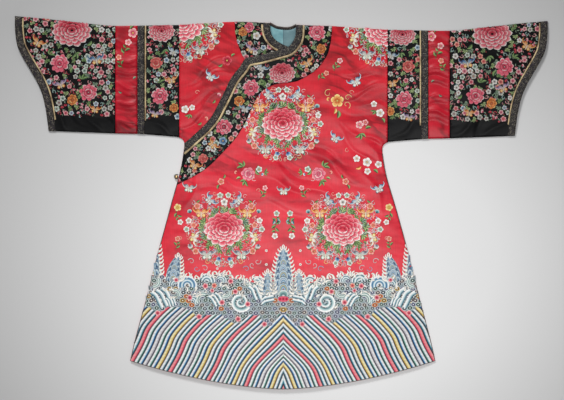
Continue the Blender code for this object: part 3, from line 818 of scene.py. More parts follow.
def round_faces(rows, columns):
    """The faces of a skin whose last row meets its first."""
    return np.roll(grid_faces(rows + 1, columns)[:, ::-1], 1, axis=1) % (rows * columns)


def round_cord(name, line, top, radius, look, nodes=(), wall=0.0):
    """A half-round cord along a line of the cut, lying on the cloth whose height is top."""
    rows = []
    for turn in np.linspace(0, math.pi, 7):
        place = line + radius * math.cos(turn) * sideways(line)
        height = top(place) + wall + radius * CORD_FLATNESS * math.sin(turn)
        rows.append(np.column_stack([laid(place), height]))
    make_object(name, np.vstack(rows), grid_faces(len(rows), len(line))[:, ::-1], look, nodes)


def tube(name, line, radius, look, nodes=()):
    """A round cord along a line of places in space."""
    aside = np.column_stack([sideways(line[:, :2]), np.zeros(len(line))])
    turns = np.linspace(0, 2 * math.pi, 10, endpoint=False)
    rows = [line + radius * (math.cos(turn) * aside + (0, 0, math.sin(turn))) for turn in turns]
    ends = np.arange(len(rows)) * len(line)
    faces = [*round_faces(len(rows), len(line)), ends, (ends + len(line) - 1)[::-1]]
    make_object(name, np.vstack(rows), faces, look, nodes)


def cords(lapel, neck, cuff):
    """The cream piping beside each ribbon."""
    middle = RIBBON_WIDTH + CORD_WIDTH / 2
    step = WALL + LAYER_GAP
    front = moved_out(lapel, middle)
    front = front[(front[:, 1] < np.interp(front[:, 0], *HEAD.T, left=FAR))
                  & (front[:, 0] > LAPEL_CORD_END)]
    upper = moved_out(neck[::-1], middle)
    upper = upper[(upper[:, 1] < NECK_TOP) & (upper[:, 0] < NECK_CORD_END)]
    for piece, line, height in (("lapel", front, high_height), ("neck", upper, low_height)):
        round_cord(f"{piece}_piping", line, height, CORD_WIDTH / 2, CORD, (f"{piece}_cord",),
                   2 * step + BAND_WALL)
    down = between((RED_SEAM - middle, CORD_END), (RED_SEAM - middle, SLEEVE_CORD_TOP))
    along = moved_out(cuff, middle)
    along = along[(along[:, 1] > CORD_END) & (along[:, 1] < CUFF_CORD_TOP)]
    for side, way in SIDES:
        for piece, line in (("band", down), ("cuff", along)):
            round_cord(f"{piece}_piping_{side}", flip(line, way), low_height, SLEEVE_CORD_HALF, CORD,
                       (f"{piece}_cord_{side}",), step)


def edge_piping():
    """The thin dark edging down the sides and along the hem of the outer front."""
    side = smooth(SIDE_SEAM, EDGE_NET)
    line = joined(side[::-1][2:], hem()[::-1][1:], flip(hem())[1:], flip(side)[1:-2])
    round_cord("edge_piping", moved_out(line, -PIPING_OUT), high_height, PIPING_HALF, EDGING, (), WALL)


def neck_binding():
    """The dark binding round the back of the neck."""
    line = back_neck(0.0015, 0.0025, 0.0005)
    height = BINDING_LOW + BINDING_RISE * (np.abs(line[:, 0]) / NECK_HALF) ** 4
    tube("neck_binding", np.column_stack([laid(line), height]), BINDING_RADIUS, EDGING)


def make_button():
    """The gilt ball button, with eight shallow ribs that swell at its middle, and the black cord loop about
    it.
    """
    x, y = laid(np.array([[BUTTON_X, BUTTON_Y]]))[0]
    height = BUTTON_FLOOR + BUTTON_RADIUS
    around = np.linspace(0, 2 * math.pi, 24, endpoint=False)[:, None]
    up = np.linspace(-math.pi / 2, math.pi / 2, 17)
    swell = BUTTON_RADIUS * (1 + 0.05 * np.cos(8 * around) * np.cos(up) ** 2)
    level_places = polar(x, y, swell * np.cos(up), around)
    places = np.concatenate([level_places, (height + swell * np.sin(up))[..., None]], 2)
    make_object("ball_button", places.reshape(-1, 3), round_faces(*places.shape[:2]), GILT,
                ("side_button",))
    far = BUTTON_RADIUS + LOOP_CORD + LOOP_GAP
    ring = polar(x, y, far, np.radians(np.linspace(90, 270, 25)))
    route = np.vstack([(x + LOOP_REACH, y + far), ring, (x + LOOP_REACH, y - far)])
    tube("button_cord", np.column_stack([route, np.full(len(route), height)]), LOOP_CORD, EDGING,
         ("side_button_loop",))


# Embroidery

# Screen colours of the silks: heart, middle and tip of a petal, or the two edges of a wing
SILKS = {
    "dark": ((14, 22, 22), (30, 44, 40), (150, 166, 140)),
    "rose": ((128, 8, 38), (226, 82, 106), (254, 206, 202)),
    "vivid": ((128, 4, 36), (250, 92, 118), (255, 240, 234)),
    "pink": ((176, 40, 76), (236, 122, 142), (254, 224, 216)),
    "coral": ((166, 34, 40), (234, 104, 98), (250, 200, 176)),
    "red": ((92, 4, 24), (186, 22, 48), (232, 92, 104)),
    "white": ((120, 92, 84), (232, 230, 222), (255, 254, 250)),
    "dull_white": ((64, 66, 60), (186, 186, 178), (232, 230, 220)),
    "green_white": ((44, 84, 74), (166, 194, 176), (246, 250, 240)),
    "blue_white": ((34, 60, 108), (140, 176, 200), (246, 250, 248)),
    "blue": ((24, 42, 96), (72, 116, 166), (176, 208, 226)),
    "teal": ((26, 68, 82), (88, 148, 156), (198, 224, 216)),
    "orange": ((150, 48, 22), (236, 132, 60), (255, 228, 150)),
    "yellow": ((150, 100, 40), (228, 188, 92), (250, 232, 172)),
    "green": ((24, 48, 32), (92, 132, 76), (166, 194, 122)),
    "spring": ((36, 74, 48), (124, 162, 96), (222, 228, 166)),
    "sage": ((30, 54, 48), (102, 134, 112), (184, 202, 170)),
    "grey": ((70, 70, 90), (156, 160, 168), (240, 240, 234)),
    "lilac": ((84, 58, 104), (164, 138, 178), (228, 214, 230)),
}
LAYER = 0.00013
LIFT = 0.00040
THREAD_PITCH = 0.63
TINY_FACE = 1e-10


def surface(cloth_piece, places):
    """Height of a cloth's upper side below each of the given places."""
    mesh = cloth_piece.data
    tree = BVHTree.FromPolygons([v.co for v in mesh.vertices], [p.vertices for p in mesh.polygons])
    height = np.zeros(len(places))
    for i, (x, y) in enumerate(places):
        hit = tree.ray_cast((x, y, 1.0), (0.0, 0.0, -1.0))[0]
        if hit is None:
            hit = tree.find_nearest((x, y, 0.006))[0]
        height[i] = hit[2]
    return height


class Stitching:
    """Collects stitched shapes, drawn flat in units, and lays them on one of the cloths."""

    def __init__(self, name, cloth_piece, *regions):
        self.name, self.cloth_piece, self.regions = name, cloth_piece, regions
        # depth multiplies every colour of the set; below 1 it is painted shade.
        self.patches, self.count, self.depth = [], 0, 1.0
        self.start()

    def start(self, x=0.0, y=0.0, way=1):
        """Shapes drawn from here on are moved, and mirrored where way is -1."""
        self.origin, self.way = (x, y), (way, 1)

    def grid(self, places, colours, lift, axis=0):
        """A patch of rows and columns of places; its threads run down the rows or along them."""
        shape = places.shape[:2]
        step = np.diff(places, axis=axis, prepend=places.take([0], axis))
        run = UNIT * 1000 * THREAD_PITCH * np.cumsum(np.linalg.norm(step, axis=2), axis)
        self.patches.append((places.reshape(-1, 2) * self.way + self.origin,
                             np.broadcast_to(colours, (*shape, 3)).reshape(-1, 3),
                             np.broadcast_to(lift, shape).ravel(),
                             np.stack([run.ravel(), np.zeros(run.size)], 1),
                             grid_faces(*shape, self.count)))
        self.count += run.size

    def make(self):
        places, colours, lifts, threads, faces = (np.concatenate(p) for p in zip(*self.patches))
        places = places * UNIT
        for region in self.regions:
            faces = faces[inside(places[faces].mean(axis=1), region)]
        a, b, c, d = (places[faces[:, i]] for i in range(4))
        one, two = c - a, d - b
        turned = one[:, 0] * two[:, 1] - one[:, 1] * two[:, 0]
        faces[turned < 0] = faces[turned < 0][:, ::-1]
        faces = faces[np.abs(turned) > TINY_FACE]
        used = np.unique(faces)
        height = surface(self.cloth_piece, places[used]) + LIFT + LAYER * lifts[used]
        make_object(self.name, np.column_stack([places[used], height]),
                    numbered(used, len(places))[faces], THREAD, (),
                    linear(self.depth * colours[used]), threads[used])


def silk_of(name):
    return np.array(SILKS[name], float)


def fan(s, x, y, turn, spread, near, far, silks, lift, columns):
    """A petal as a fan about (x, y), with a rounded tip, shaded outwards through the silks."""
    share = np.linspace(0, 1, 4)
    at = np.linspace(0, len(silks) - 1, 4)
    shaded = np.stack([np.interp(at, range(len(silks)), part) for part in zip(*silks)], 1)
    across = np.linspace(-0.5, 0.5, columns)
    rounded = 1 - 0.30 * np.abs(2 * across) ** 3
    reach = near + (far * rounded - near) * share[:, None]
    s.grid(polar(x, y, reach, math.radians(turn) + math.radians(spread) * across), shaded[:, None],
           lift, 1)


def disc(s, x, y, across, up, silks, lift=1, turn=0, sides=10):
    """An oval of rings, from the middle colour outwards."""
    rings = np.linspace(0.02, 1, len(silks))[:, None]
    places = polar(0, 0, rings * across, np.linspace(0, 2 * math.pi, sides + 1), up / across)
    s.grid(places @ turning(turn) + (x, y), np.asarray(silks, float)[:, None], lift, 1)


def ribbon(s, line, widths, silks, lift=1):
    """A strip along a line, coloured from its right edge to its left one."""
    widths = np.broadcast_to(widths, len(line))[:, None, None]
    share = np.linspace(-0.5, 0.5, len(silks))[:, None]
    s.grid(line[:, None] + sideways(line)[:, None] * widths * share, silks, lift)


def leaf(s, x, y, length, width, turn, silk="green", lift=1):
    """A pointed leaf from its stem end, dark on one side of the rib and light on the other."""
    t = np.linspace(0, 1, 6)[:, None]
    half = 0.5 * width * np.sin(math.pi * t**0.85) ** 0.8 + 0.02 * width
    aside = half * (-1, -0.1, 0.1, 1) + 0.15 * length * np.sin(math.pi * t)
    dark, middle, light = SILKS[silk]
    places = np.stack([length * t + 0 * aside, aside], 2) @ turning(turn) + (x, y)
    s.grid(places, (dark, middle, light, middle), lift)


def leaves(s, x, y, length, width, turn, silk, lift, spreads, narrowing=0.0):
    """Leaves that spread from one place, the outer ones a little shorter."""
    for spread in spreads:
        leaf(s, x, y, length - narrowing * abs(spread), width, turn + spread, silk, lift)


def petal(s, x, y, turn, near, far, half, silks, lift=1, squash=1.0, taper=0.0):
    """A petal with a rounded tip, dark where it meets its neighbours and pale round the tip."""
    gap, heart, middle, pale, tip = silks
    share = np.array([0, 0.32, 0.52, 0.68, 0.80, 0.93, 1.0])[:, None]
    profile = np.array([0.80, 0.95, 1.0, 1.0, 0.95, 0.76, 0.46])[:, None] * half
    across = np.array([-1, -0.78, -0.3, 0.3, 0.78, 1])
    out = (near + (far - near) * share) * (1 - 0.09 * np.abs(across) ** 3)
    side = profile * (1 - taper * (1 - share) ** 1.5) * across
    rows = [(gap, heart, heart, heart, heart, gap), (gap, middle, heart, heart, middle, gap),
            (gap, middle, middle, middle, middle, gap), (gap, pale, middle, middle, pale, gap),
            (pale, tip, pale, pale, tip, pale), (tip,) * 6, (tip,) * 6]
    s.grid(np.stack([out, side], 2) @ turning(turn) * (1, squash) + (x, y), np.array(rows), lift, 1)


def blossom(s, x, y, size, turn=0, silk="white", lift=2, heart="yellow"):
    """A plum blossom of five petals."""
    dark, middle, tip = silk_of(silk)
    silks = (0.6 * dark + 0.4 * middle, 0.7 * middle + 0.3 * dark, 0.5 * (middle + tip), tip, tip)
    for k in range(5):
        petal(s, x, y, turn + 72 * k, 0.10 * size, size, 0.43 * size, silks, lift + 0.1 * (k % 2))
    disc(s, x, y, 0.21 * size, 0.21 * size, SILKS[heart][::-1], lift + 1, sides=6)


def bud(s, x, y, size, turn=0, silk="pink", lift=2):
    dark, middle, tip = SILKS[silk]
    fan(s, x, y, turn, 110, 0, size, (dark, middle, tip), lift, 5)
    fan(s, x, y, turn, 60, 0, 0.6 * size, (dark, dark, middle), lift + 1, 4)


def curl(s, x, y, size, turn=0, silk="pink", lift=1, turns=0.9, width=0.7):
    """A thin tendril that winds in on itself."""
    t = np.linspace(0, 1, 14)
    line = polar(x, y, size * (1 - 0.75 * t), math.radians(turn) + 2 * math.pi * turns * t)
    dark, middle, tip = SILKS[silk]
    ribbon(s, line, width * (1 - 0.5 * t), (middle, tip, dark), lift)


HIND_WINGS = {"blue_white": "grey", "grey": "green_white", "white": "yellow"}
CREAM = np.array((250.0, 240.0, 214.0))


def butterfly(s, x, y, size, turn=90, silk="blue_white", lift=2):
    """A butterfly seen from above, its head towards turn, with curved tips to its wings."""
    dark, middle, tip = silk_of(silk)
    low = silk_of(HIND_WINGS.get(silk, "orange"))

    def strip(points, widths, silks, over):
        line = smooth(np.array(points) * size, 0.13 * size)
        widths = np.interp(np.linspace(0, 1, len(line)), np.linspace(0, 1, len(widths)), widths)
        ribbon(s, line @ turning(turn - 90) + (x, y), widths * size, silks, lift + over)

    for way in (-1, 1):
        petal(s, x, y, turn + way * 118, 0.04 * size, 0.66 * size, 0.24 * size,
              (low[0], 0.5 * (CREAM + low[1]), low[2], low[1], low[0]), lift, taper=0.5)
        petal(s, x, y, turn + way * 52, 0.04 * size, 0.90 * size, 0.30 * size,
              (dark, 0.5 * (CREAM + middle), 0.5 * (tip + middle), middle, dark), lift + 0.4, taper=0.6)
        strip([(0.50 * way, 0.26), (0.78 * way, 0.40), (0.98 * way, 0.66), (0.92 * way, 0.92)],
              (0.30, 0.24, 0.14, 0.05), (tip, middle, dark)[::way], 0.8)
        strip([(0.10 * way, 0.04), (0.34 * way, 0.10), (0.56 * way, 0.34)], (0.05, 0.12, 0.05),
              (low[1], CREAM)[::way], 1.4)
        strip([(0.06 * way, 0.20), (0.14 * way, 0.46), (0.34 * way, 0.68)], (0.06, 0.05, 0.04),
              (CREAM, middle), 2)
    strip([(0, -0.46), (0, -0.10), (0, 0.24)], (0.08, 0.24, 0.14), (dark, CREAM, CREAM, dark), 2)


# Rings of a peony: share of its size, petals, how far the middle is moved up
PEONY_RINGS = ((1.00, 14, 0.00), (0.80, 13, 0.02), (0.61, 11, 0.03), (0.43, 8, 0.03), (0.25, 5, 0.02))
PEONY_GAP = (120, 6, 34)
PEONY_HIGH = np.array(((196, 26, 56), (222, 62, 84), (240, 108, 120), (248, 150, 156)), float)
PEONY_LOW = np.array(((224, 76, 98), (248, 152, 160), (255, 234, 226), (255, 255, 250)), float)
PEONY_SQUASH = 0.8


def varied(colours, pick, amount):
    """The colours, a little lighter or darker, as the silk takes the light."""
    return np.clip(colours + pick.uniform(-amount, amount), 0, 255)


def peony(s, x, y, size, turn=0, silk="vivid", seed=1):
    """A full peony in its own silks: rings of rounded petals, palest at the outer and lower edge."""
    pick = np.random.default_rng(seed)
    for row, (share, petals, up) in enumerate(PEONY_RINGS):
        start = pick.uniform(0, 360)
        for k in range(petals):
            angle = start + 360 / petals * k
            inner = 0.85 * row / (len(PEONY_RINGS) - 1)
            low = np.clip(1.15 - math.sin(math.radians(angle)) - inner, 0, 1)
            silks = np.vstack([PEONY_GAP, PEONY_HIGH * (1 - low) + PEONY_LOW * low])
            reach = size * share * pick.uniform(0.95, 1.04)
            petal(s, x, y + PEONY_SQUASH * size * up, turn + angle,
                  reach - 0.30 * size * max(share, 0.6), reach, 0.90 * math.pi * size * share / petals,
                  varied(silks, pick, 8), 2 + row * 0.7, PEONY_SQUASH)


def small_peony(s, x, y, size, turn=0, silk="pink", seed=1):
    """A round flower of two or three rings of rounded petals with dark gaps."""
    pick = np.random.default_rng(seed)
    heart, middle, tip = silk_of(silk)
    rings = ((1.0, 10), (0.70, 7), (0.42, 4)) if size > 7 else ((1.0, 7), (0.56, 4))
    for row, (share, petals) in enumerate(rings):
        for k in range(petals):
            angle = turn + 360 / petals * (k + 0.5 * row) + pick.uniform(-7, 7)
            reach = size * share * pick.uniform(0.90, 1.07)
            glow = (0.25, 0.5, 1.0, 0.8)[pick.integers(4)]
            silks = varied(np.array([0.55 * heart, 0.6 * heart + 0.4 * middle, middle,
                                     (1 - 0.7 * glow) * middle + 0.7 * glow * tip,
                                     (1 - glow) * middle + glow * tip]), pick, 12)
            petal(s, x, y, angle, 0.40 * reach * (row < len(rings) - 1), reach,
                  0.82 * math.pi * size * share / petals, silks, 2 + row * 0.8)
    disc(s, x, y, 0.09 * size, 0.09 * size, (tip, heart), 5, sides=6)


# Leaves of a sprig: share of the stem, length, width, lean
SPRAY_LEAVES = ((0.2, 0.42, 0.2, 48), (0.35, 0.40, 0.2, -50), (0.6, 0.32, 0.16, 60))


def spray(s, x, y, size, turn=0, silk="pink"):
    """A little sprig: a stem with three leaves and a flower at its end."""
    head, side = np.eye(2) @ turning(turn)
    root, end = (x, y) - 0.5 * size * head, (x, y) + 0.5 * size * head
    ribbon(s, smooth([root, (x, y) + 0.12 * size * side, end], 1.2), 0.6, SILKS["green"][:2], 0)
    for share, length, width, lean in SPRAY_LEAVES:
        leaf(s, *(root + share * size * head), length * size, width * size, turn + lean)
    blossom(s, *end, 0.24 * size, turn, silk)


SHAPES = {
    "blossom": blossom, "bud": bud, "curl": curl, "butterfly": butterfly, "peony": peony,
    "small_peony": small_peony, "spray": spray,
    "leaf": lambda s, x, y, size, turn, silk: leaf(s, x, y, size, 0.5 * size, turn, silk),
    "leaves": lambda s, x, y, size, turn, silk: leaves(s, x, y, size, 0.42 * size, turn, silk, 1,
                                                       (-52, 0, 52)),
}

# A motif is green unless its silk is named
Motif = namedtuple("Motif", "shape x y size turn silk", defaults=("green",))


def motifs(*rows):
    return [Motif(*row) for row in rows]


def draw(s, table, seed=3):
    """Stitches the motifs of a table; each peony has random petals of its own."""
    for k, (shape, *values) in enumerate(table):
        more = {"seed": k + seed} if "peony" in shape else {}
        SHAPES[shape](s, *values, **more)


# One side of a medallion's ring, from its middle; the other side is its mirror image
RING = motifs(
    ("blossom", 4.1, 34.3, 2.9, 20, "green_white"), ("bud", 6.6, 29, 3.2, 60, "coral"),
    ("butterfly", 15, 28.6, 7.2, 140, "blue_white"), ("curl", 9.5, 36.2, 2.2, 200, "coral"),
    ("butterfly", 23, 15.5, 8.2, 90, "orange"), ("blossom", 27, 23.5, 3.3, 0, "coral"),
    ("leaf", 28, 27.5, 4.2, 150), ("curl", 31, 26.5, 2.4, 90, "grey"), ("bud", 33.8, 16.2, 4.2, 70, "teal"),
    ("leaves", 7.6, 18, 4.6, 55), ("leaf", 3, 18.8, 4.6, 80), ("leaves", 13, 11.6, 4, 40),
    ("blossom", 35.4, 8.9, 3.1, 10, "white"), ("blossom", 30.4, 4.4, 3, 30, "coral"),
    ("curl", 34.6, 3.9, 2, 0, "pink"), ("blossom", 37.6, 0.3, 3.1, 0, "green_white"),
    ("leaf", 22.8, 1.6, 6.2, 84), ("leaf", 24.6, -4.6, 6, 96), ("butterfly", 30.6, -8, 7.4, 196, "white"),
    ("curl", 31.6, -1.6, 3.2, 40, "blue_white"), ("bud", 34.6, -14.4, 4.6, 250, "grey"),
    ("bud", 28, -12, 3.6, 310, "orange"), ("blossom", 28.4, -21.6, 3.4, 15, "coral"),
    ("spray", 33, -19, 6, 60, "grey"), ("butterfly", 17.2, -26.4, 8.2, 90, "grey"),
    ("leaves", 15, -17.2, 4.4, -20), ("leaves", 3.4, -20.2, 4.8, -60), ("leaf", 20.6, -11.6, 4, -40),
    ("bud", 4.2, -27.6, 4.4, -56, "blue"), ("blossom", 7, -33.3, 2.9, 0, "green_white"),
    ("curl", 12.4, -32.4, 2.4, 30, "coral"), ("curl", 17, -31.8, 2.4, 200, "orange"),
    ("curl", 2.6, -35.6, 2, 80, "coral"), ("curl", 22.6, -28.8, 2.2, 320, "pink"),
    ("curl", 20.6, 33, 2.2, 30, "pink"), ("bud", 20.4, 23.6, 2.8, -20, "pink"),
    ("curl", 37, -6, 1.8, 60, "coral"), ("bud", 32.6, 11.8, 2.8, 150, "coral"),
)

RING_SILKS = ("rose", "coral", "sage", "red", "grey", "green_white", "rose", "pink", "white", "lilac")
TENDRILS = 460
# Places of the leaves round the peony, in degrees, and their silks
WREATH = (4, 24, 66, 90, 114, 156, 176, 204, 232, 254, 286, 308, 336)
WREATH_SILKS = ("spring", "sage", "green")


def medallion(s, x, y, seed):
    """A round of flowers and butterflies about a peony, filled in with fine tendrils."""
    s.start(x, y)
    pick = np.random.default_rng(seed)
    for k in range(TENDRILS):
        at = polar(0, 0, pick.uniform(18.5, 37.8), pick.uniform(0, 2 * math.pi), 0.97)
        silk = RING_SILKS[pick.integers(10)]
        if k % 3:
            curl(s, *at, pick.uniform(1.2, 2.3), pick.uniform(0, 360), silk, 0, 0.8, 0.72)
        else:
            leaf(s, *at, pick.uniform(2.6, 4.0), 1.5, pick.uniform(0, 360), silk, 0)
    for k, angle in enumerate(WREATH):
        at = polar(0, 1.0, 20.5, math.radians(angle), 16.0 / 20.5)
        for shift, spreads in enumerate(((-64, -32, 0), (32, 64))):
            leaves(s, *at, 6.6, 2.4, angle, WREATH_SILKS[(k + shift) % 3], 1, spreads, 0.022)
    peony(s, 0, 0, 21.0, seed=seed)
    blossom(s, 0, 27.5, 3.6, 90, "white", heart="dark")
    for way in (1, -1):
        s.start(x, y, way)
        draw(s, RING)
    s.start()


# The middle line of the front, and the medallions: place and seed
MIDDLE = 2.1
MEDALLIONS = ((1.5, 78.2, 3), (-57.0, -27.0, 5), (61.4, -27.2, 8), (102.8, 172.5, 11))
INNER_MEDALLION = (-98.2, 177.5, 14)

# Flowers and butterflies on the red ground, on both sides of the middle line
PAIRED = motifs(
    ("small_peony", 35, 28.4, 7, 10, "pink"), ("leaves", 28, 32, 6.2, 170), ("leaves", 40.4, 35.4, 6.4, 40),
    ("leaves", 37.4, 21.6, 6, -60), ("bud", 46, 29.6, 3, 20, "coral"), ("curl", 29.6, 24, 2.6, 220, "pink"),
    ("blossom", 24.2, 33.2, 3.2, 0, "green_white"), ("leaves", 19, 30.4, 4.6, 175),
    ("bud", 22.2, 28.6, 2.6, 200, "blue_white"), ("leaf", 42.6, 25, 4.6, -20, "spring"),
    ("blossom", 62.2, 20.9, 3.4, 0, "coral"), ("leaf", 64, 18, 5, -70), ("leaf", 60, 24, 4.4, 110),
    ("spray", 20.6, 9.6, 11, 115, "pink"), ("curl", 24.6, 12, 2.2, 0, "coral"),
    ("spray", 7.4, -17.4, 13, 96, "green_white"), ("spray", 7.8, -27, 13, -84, "white"),
    ("leaf", 4.6, -22, 6.4, 78, "teal"), ("leaf", 10.6, -22, 6.4, 104, "teal"),
    ("blossom", 105.6, -4.9, 3.8, 0, "yellow"), ("spray", 105, -14, 12, 250, "white"),
    ("spray", 106.6, -41.6, 11, 100, "coral"), ("curl", 103, -36, 2.4, 0, "coral"),
    ("curl", 92, -58.8, 3.4, 20, "grey"), ("curl", 86.6, -66, 3.2, 200, "blue"),
    ("curl", 78.4, -65.8, 3.4, 40, "grey"), ("curl", 25.6, -58.9, 3.4, 160, "grey"),
    ("curl", 37, -66.4, 3.4, 20, "blue"), ("curl", 31, -62.6, 3, 250, "grey"),
    ("blossom", 17, -48.1, 1.4, 0, "white"), ("blossom", 17, -61.9, 1.4, 0, "white"),
    ("blossom", 52, -64, 1.3, 0, "white"), ("blossom", 66, -66, 1.3, 0, "white"),
)
# The same, at single places
SINGLE = motifs(
    ("butterfly", 2.4, 10.4, 6.6, 90, "grey"), ("butterfly", -92.4, 13.4, 7, 80, "grey"),
    ("butterfly", 97.8, 12.9, 7, 110, "blue_white"), ("butterfly", 74.8, 119.5, 7.6, 118, "blue_white"),
    ("butterfly", 53.6, 63.4, 7, 60, "blue_white"), ("blossom", 56, 101.6, 6.6, 20, "orange"),
    ("leaf", 54.6, 94, 5.6, 250, "yellow"), ("curl", 65.4, 97.6, 4, 300, "yellow"),
    ("curl", 66.6, 104.6, 3.6, 10, "yellow"), ("curl", 46.8, 109, 4.2, 60, "yellow"),
    ("bud", 48.6, 103, 3.2, 170, "orange"), ("leaf", 57, 92, 8, 264),
    ("spray", 55.6, 136.4, 12, 60, "pink"), ("spray", 40.8, 125.7, 11, 40, "coral"),
    ("blossom", 98.8, 89.5, 4.2, 0, "white"), ("blossom", 92.6, 98.4, 3.2, 20, "white"),
    ("leaves", 94, 92, 5, 230), ("leaf", 100.4, 84.4, 5.4, -60), ("blossom", 78.2, 77.7, 4, 0, "pink"),
    ("blossom", 84, 80, 3, 0, "rose"), ("leaves", 79, 69, 6.6, -90), ("leaf", 84, 74, 6, 10),
    ("blossom", 85.8, 40.4, 4.6, 0, "white"), ("blossom", 75.4, 43.9, 3.6, 20, "white"),
    ("blossom", 97.2, 38.1, 3.6, 40, "white"), ("blossom", 86.2, 31.2, 3.4, 60, "white"),
    ("leaf", 80, 36, 6, 200, "orange"), ("leaf", 92, 33, 6, -40), ("curl", 70, 110, 2.4, 0, "coral"),
    ("curl", 66, 52, 2.4, 90, "coral"),
)
# On the inner front, above the band
INNER = motifs(
    ("blossom", -54.2, 141.8, 5, 0, "red"), ("leaf", -58.6, 138, 5, 200), ("leaf", -50, 146, 4.6, 30),
    ("butterfly", -71, 124.8, 7, 60, "blue_white"), ("blossom", -96, 93.1, 4, 0, "white"),
    ("blossom", -89, 94.9, 3, 30, "white"), ("leaves", -92, 88, 4.6, 250),
    ("bud", -63, 106.1, 3.6, 60, "pink"), ("leaf", -66, 102.6, 4.4, 230),
    ("bud", -76.4, 82.9, 3.6, 30, "coral"), ("leaf", -79.6, 80, 4.4, 210),
    ("curl", -84, 110, 2.4, 20, "coral"),
)


def body_ground(s):
    """The medallions and scattered flowers of the outer front's red ground."""
    for x, y, seed in MEDALLIONS:
        medallion(s, x, y, seed)
    for way in (1, -1):
        s.start(MIDDLE, 0, way)
        draw(s, PAIRED, 1)
    s.start()
    draw(s, SINGLE)


# The border: slanting stripes, mirrored at the middle line, with waves, stones and rocks over them

STRIPE = 4.22
STRIPE_TOP = -104.0
STRIPE_SILKS = (
    ((92, 30, 52), (236, 88, 110), (252, 126, 138), (255, 166, 168)),
    ((2, 14, 18), (84, 142, 136), (220, 242, 234), (255, 255, 255)),
    ((4, 26, 58), (48, 116, 170), (192, 228, 244), (255, 255, 255)),
    ((52, 46, 56), (186, 182, 192), (226, 224, 226), (248, 246, 246)),
    ((2, 16, 20), (78, 142, 132), (218, 242, 234), (255, 255, 255)),
    ((4, 24, 60), (50, 112, 172), (186, 222, 242), (255, 255, 255)),
    ((62, 46, 30), (212, 178, 96), (246, 226, 152), (254, 244, 196)),
    ((0, 8, 18), (92, 132, 154), (214, 234, 238), (255, 255, 255)),
    ((2, 28, 42), (58, 132, 156), (198, 234, 238), (255, 255, 255)),
)
SLANT_RISE = (0, 10, 20, 33, 47, 60, 76, 95)
SLANT_RUN = (0, 6, 11, 16, 28, 43, 59, 78)
INNER_RISE = (0, 18, 28, 38, 49, 60, 76, 95)
INNER_RUN = (0, 6.8, 15.6, 26.4, 37.2, 47, 62, 80)


def hem_height(x):
    """Height of the hem at a distance from the middle line, in units."""
    return (HEM_LOW + MIDDLE_Y) / UNIT + HEM_RISE / UNIT * (np.abs(x) * UNIT / HALF_HEM) ** HEM_POWER


def stripe_run():
    """How far a stripe leans towards the middle, by its rise: near the middle and further out."""
    rise = np.linspace(-14, 100, 96)
    tables = []
    for rises, runs in ((INNER_RISE, INNER_RUN), (SLANT_RISE, SLANT_RUN)):
        run = np.where(rise < 0, 0.5 * rise, np.interp(rise, rises, runs))
        run = np.pad(run, 4, mode="reflect", reflect_type="odd")
        tables.append(np.convolve(run, np.ones(9) / 9, "valid"))
    return rise, tables


def stripes(s):
    """Slanting stripes of shaded silk that run up from the hem towards the middle."""
    rise, (inner, outer) = stripe_run()

    def foot(k):
        return hem_height(min(max(STRIPE * k - 0.8, 0), 210))

    def across(k, y):
        start = STRIPE * k - 0.8
        share = min(max((start - 37) / 36, 0), 1)
        return start - np.interp(y - foot(k), rise, inner * (1 - share) + outer * share)

    columns = np.array([-0.04, 0.21, 0.28, 0.42, 0.50, 0.74, 0.84, 1.02])
    lifts = np.array([0, 0, 0.6, 0.9, 1.0, 0.9, 0.6, 0]) - 1
    heights = np.concatenate([np.linspace(-3, 2.5, 23), np.linspace(3.5, 95, 79)])
    for way in (1, -1):
        s.start(MIDDLE, 0, way)
        for k in range(-14, 52):
            y = foot(k) + heights
            low, centre, high = (across(k + move, y) for move in (-1, 0, 1))
            low, high = (0.5 * (side + centre)[:, None] for side in (low, high))
            keep = (high[:, 0] > -1.2) & (y < STRIPE_TOP + 6)
            if keep.sum() < 3:
                continue
            dark, tint, pale, light = np.array(STRIPE_SILKS[-k % 9], float)
            profile = np.array([dark, dark, tint, tint, pale, light, light, 0.6 * light + 0.4 * dark])
            twist = 0.95 + 0.05 * np.sin(np.arange(keep.sum()) * 2.3)
            x = np.maximum(low + (high - low) * columns, 0.0)[keep]
            s.grid(np.stack([x, y[keep][:, None] + 0 * x], 2), profile * twist[:, None, None], lifts)
    s.start()


# Lower edge of the waves and stones, and their upper edge: distance from the middle line, height
STONES_LOW = [
    (0, -111), (7, -114), (11, -122), (16, -125), (20, -122), (24, -113), (38, -114), (44, -120),
    (50, -122), (55, -118), (62, -113), (74, -111), (80, -115), (86, -117), (92, -108), (102, -106),
    (116, -106), (122, -110), (127, -111), (134, -106), (146, -103), (160, -101),
]
STONES_HIGH = [
    (0, -84), (10, -84), (18, -82), (30, -78), (50, -74), (63, -71), (80, -74), (97, -74), (108, -77),
    (119, -73), (128, -66), (160, -62),
]

# Screen colours of a ring stone: core, ring and rim
STONE_SILKS = (
    ((240, 246, 244), (18, 36, 46), (198, 212, 216)), ((232, 244, 236), (14, 48, 46), (192, 212, 206)),
    ((240, 242, 248), (34, 38, 78), (196, 204, 218)), ((250, 244, 232), (56, 42, 48), (214, 210, 206)),
    ((236, 242, 244), (30, 46, 56), (202, 214, 218)),
)
YELLOW_STONE = ((252, 244, 214), (112, 80, 34), (226, 190, 104))
ORANGE_STONE = ((252, 230, 196), (150, 58, 28), (238, 156, 84))
RARE_STONES = {7: YELLOW_STONE, 16: YELLOW_STONE, 21: ORANGE_STONE}
FOAM = ((160, 168, 172), (255, 252, 244), (255, 250, 238), (214, 210, 198))
BANDS_BLUE = ((246, 250, 250), (246, 250, 250), (110, 160, 192), (34, 88, 138), (160, 202, 216),
              (246, 250, 250), (104, 160, 190), (52, 110, 150), (246, 250, 250), (186, 204, 208))
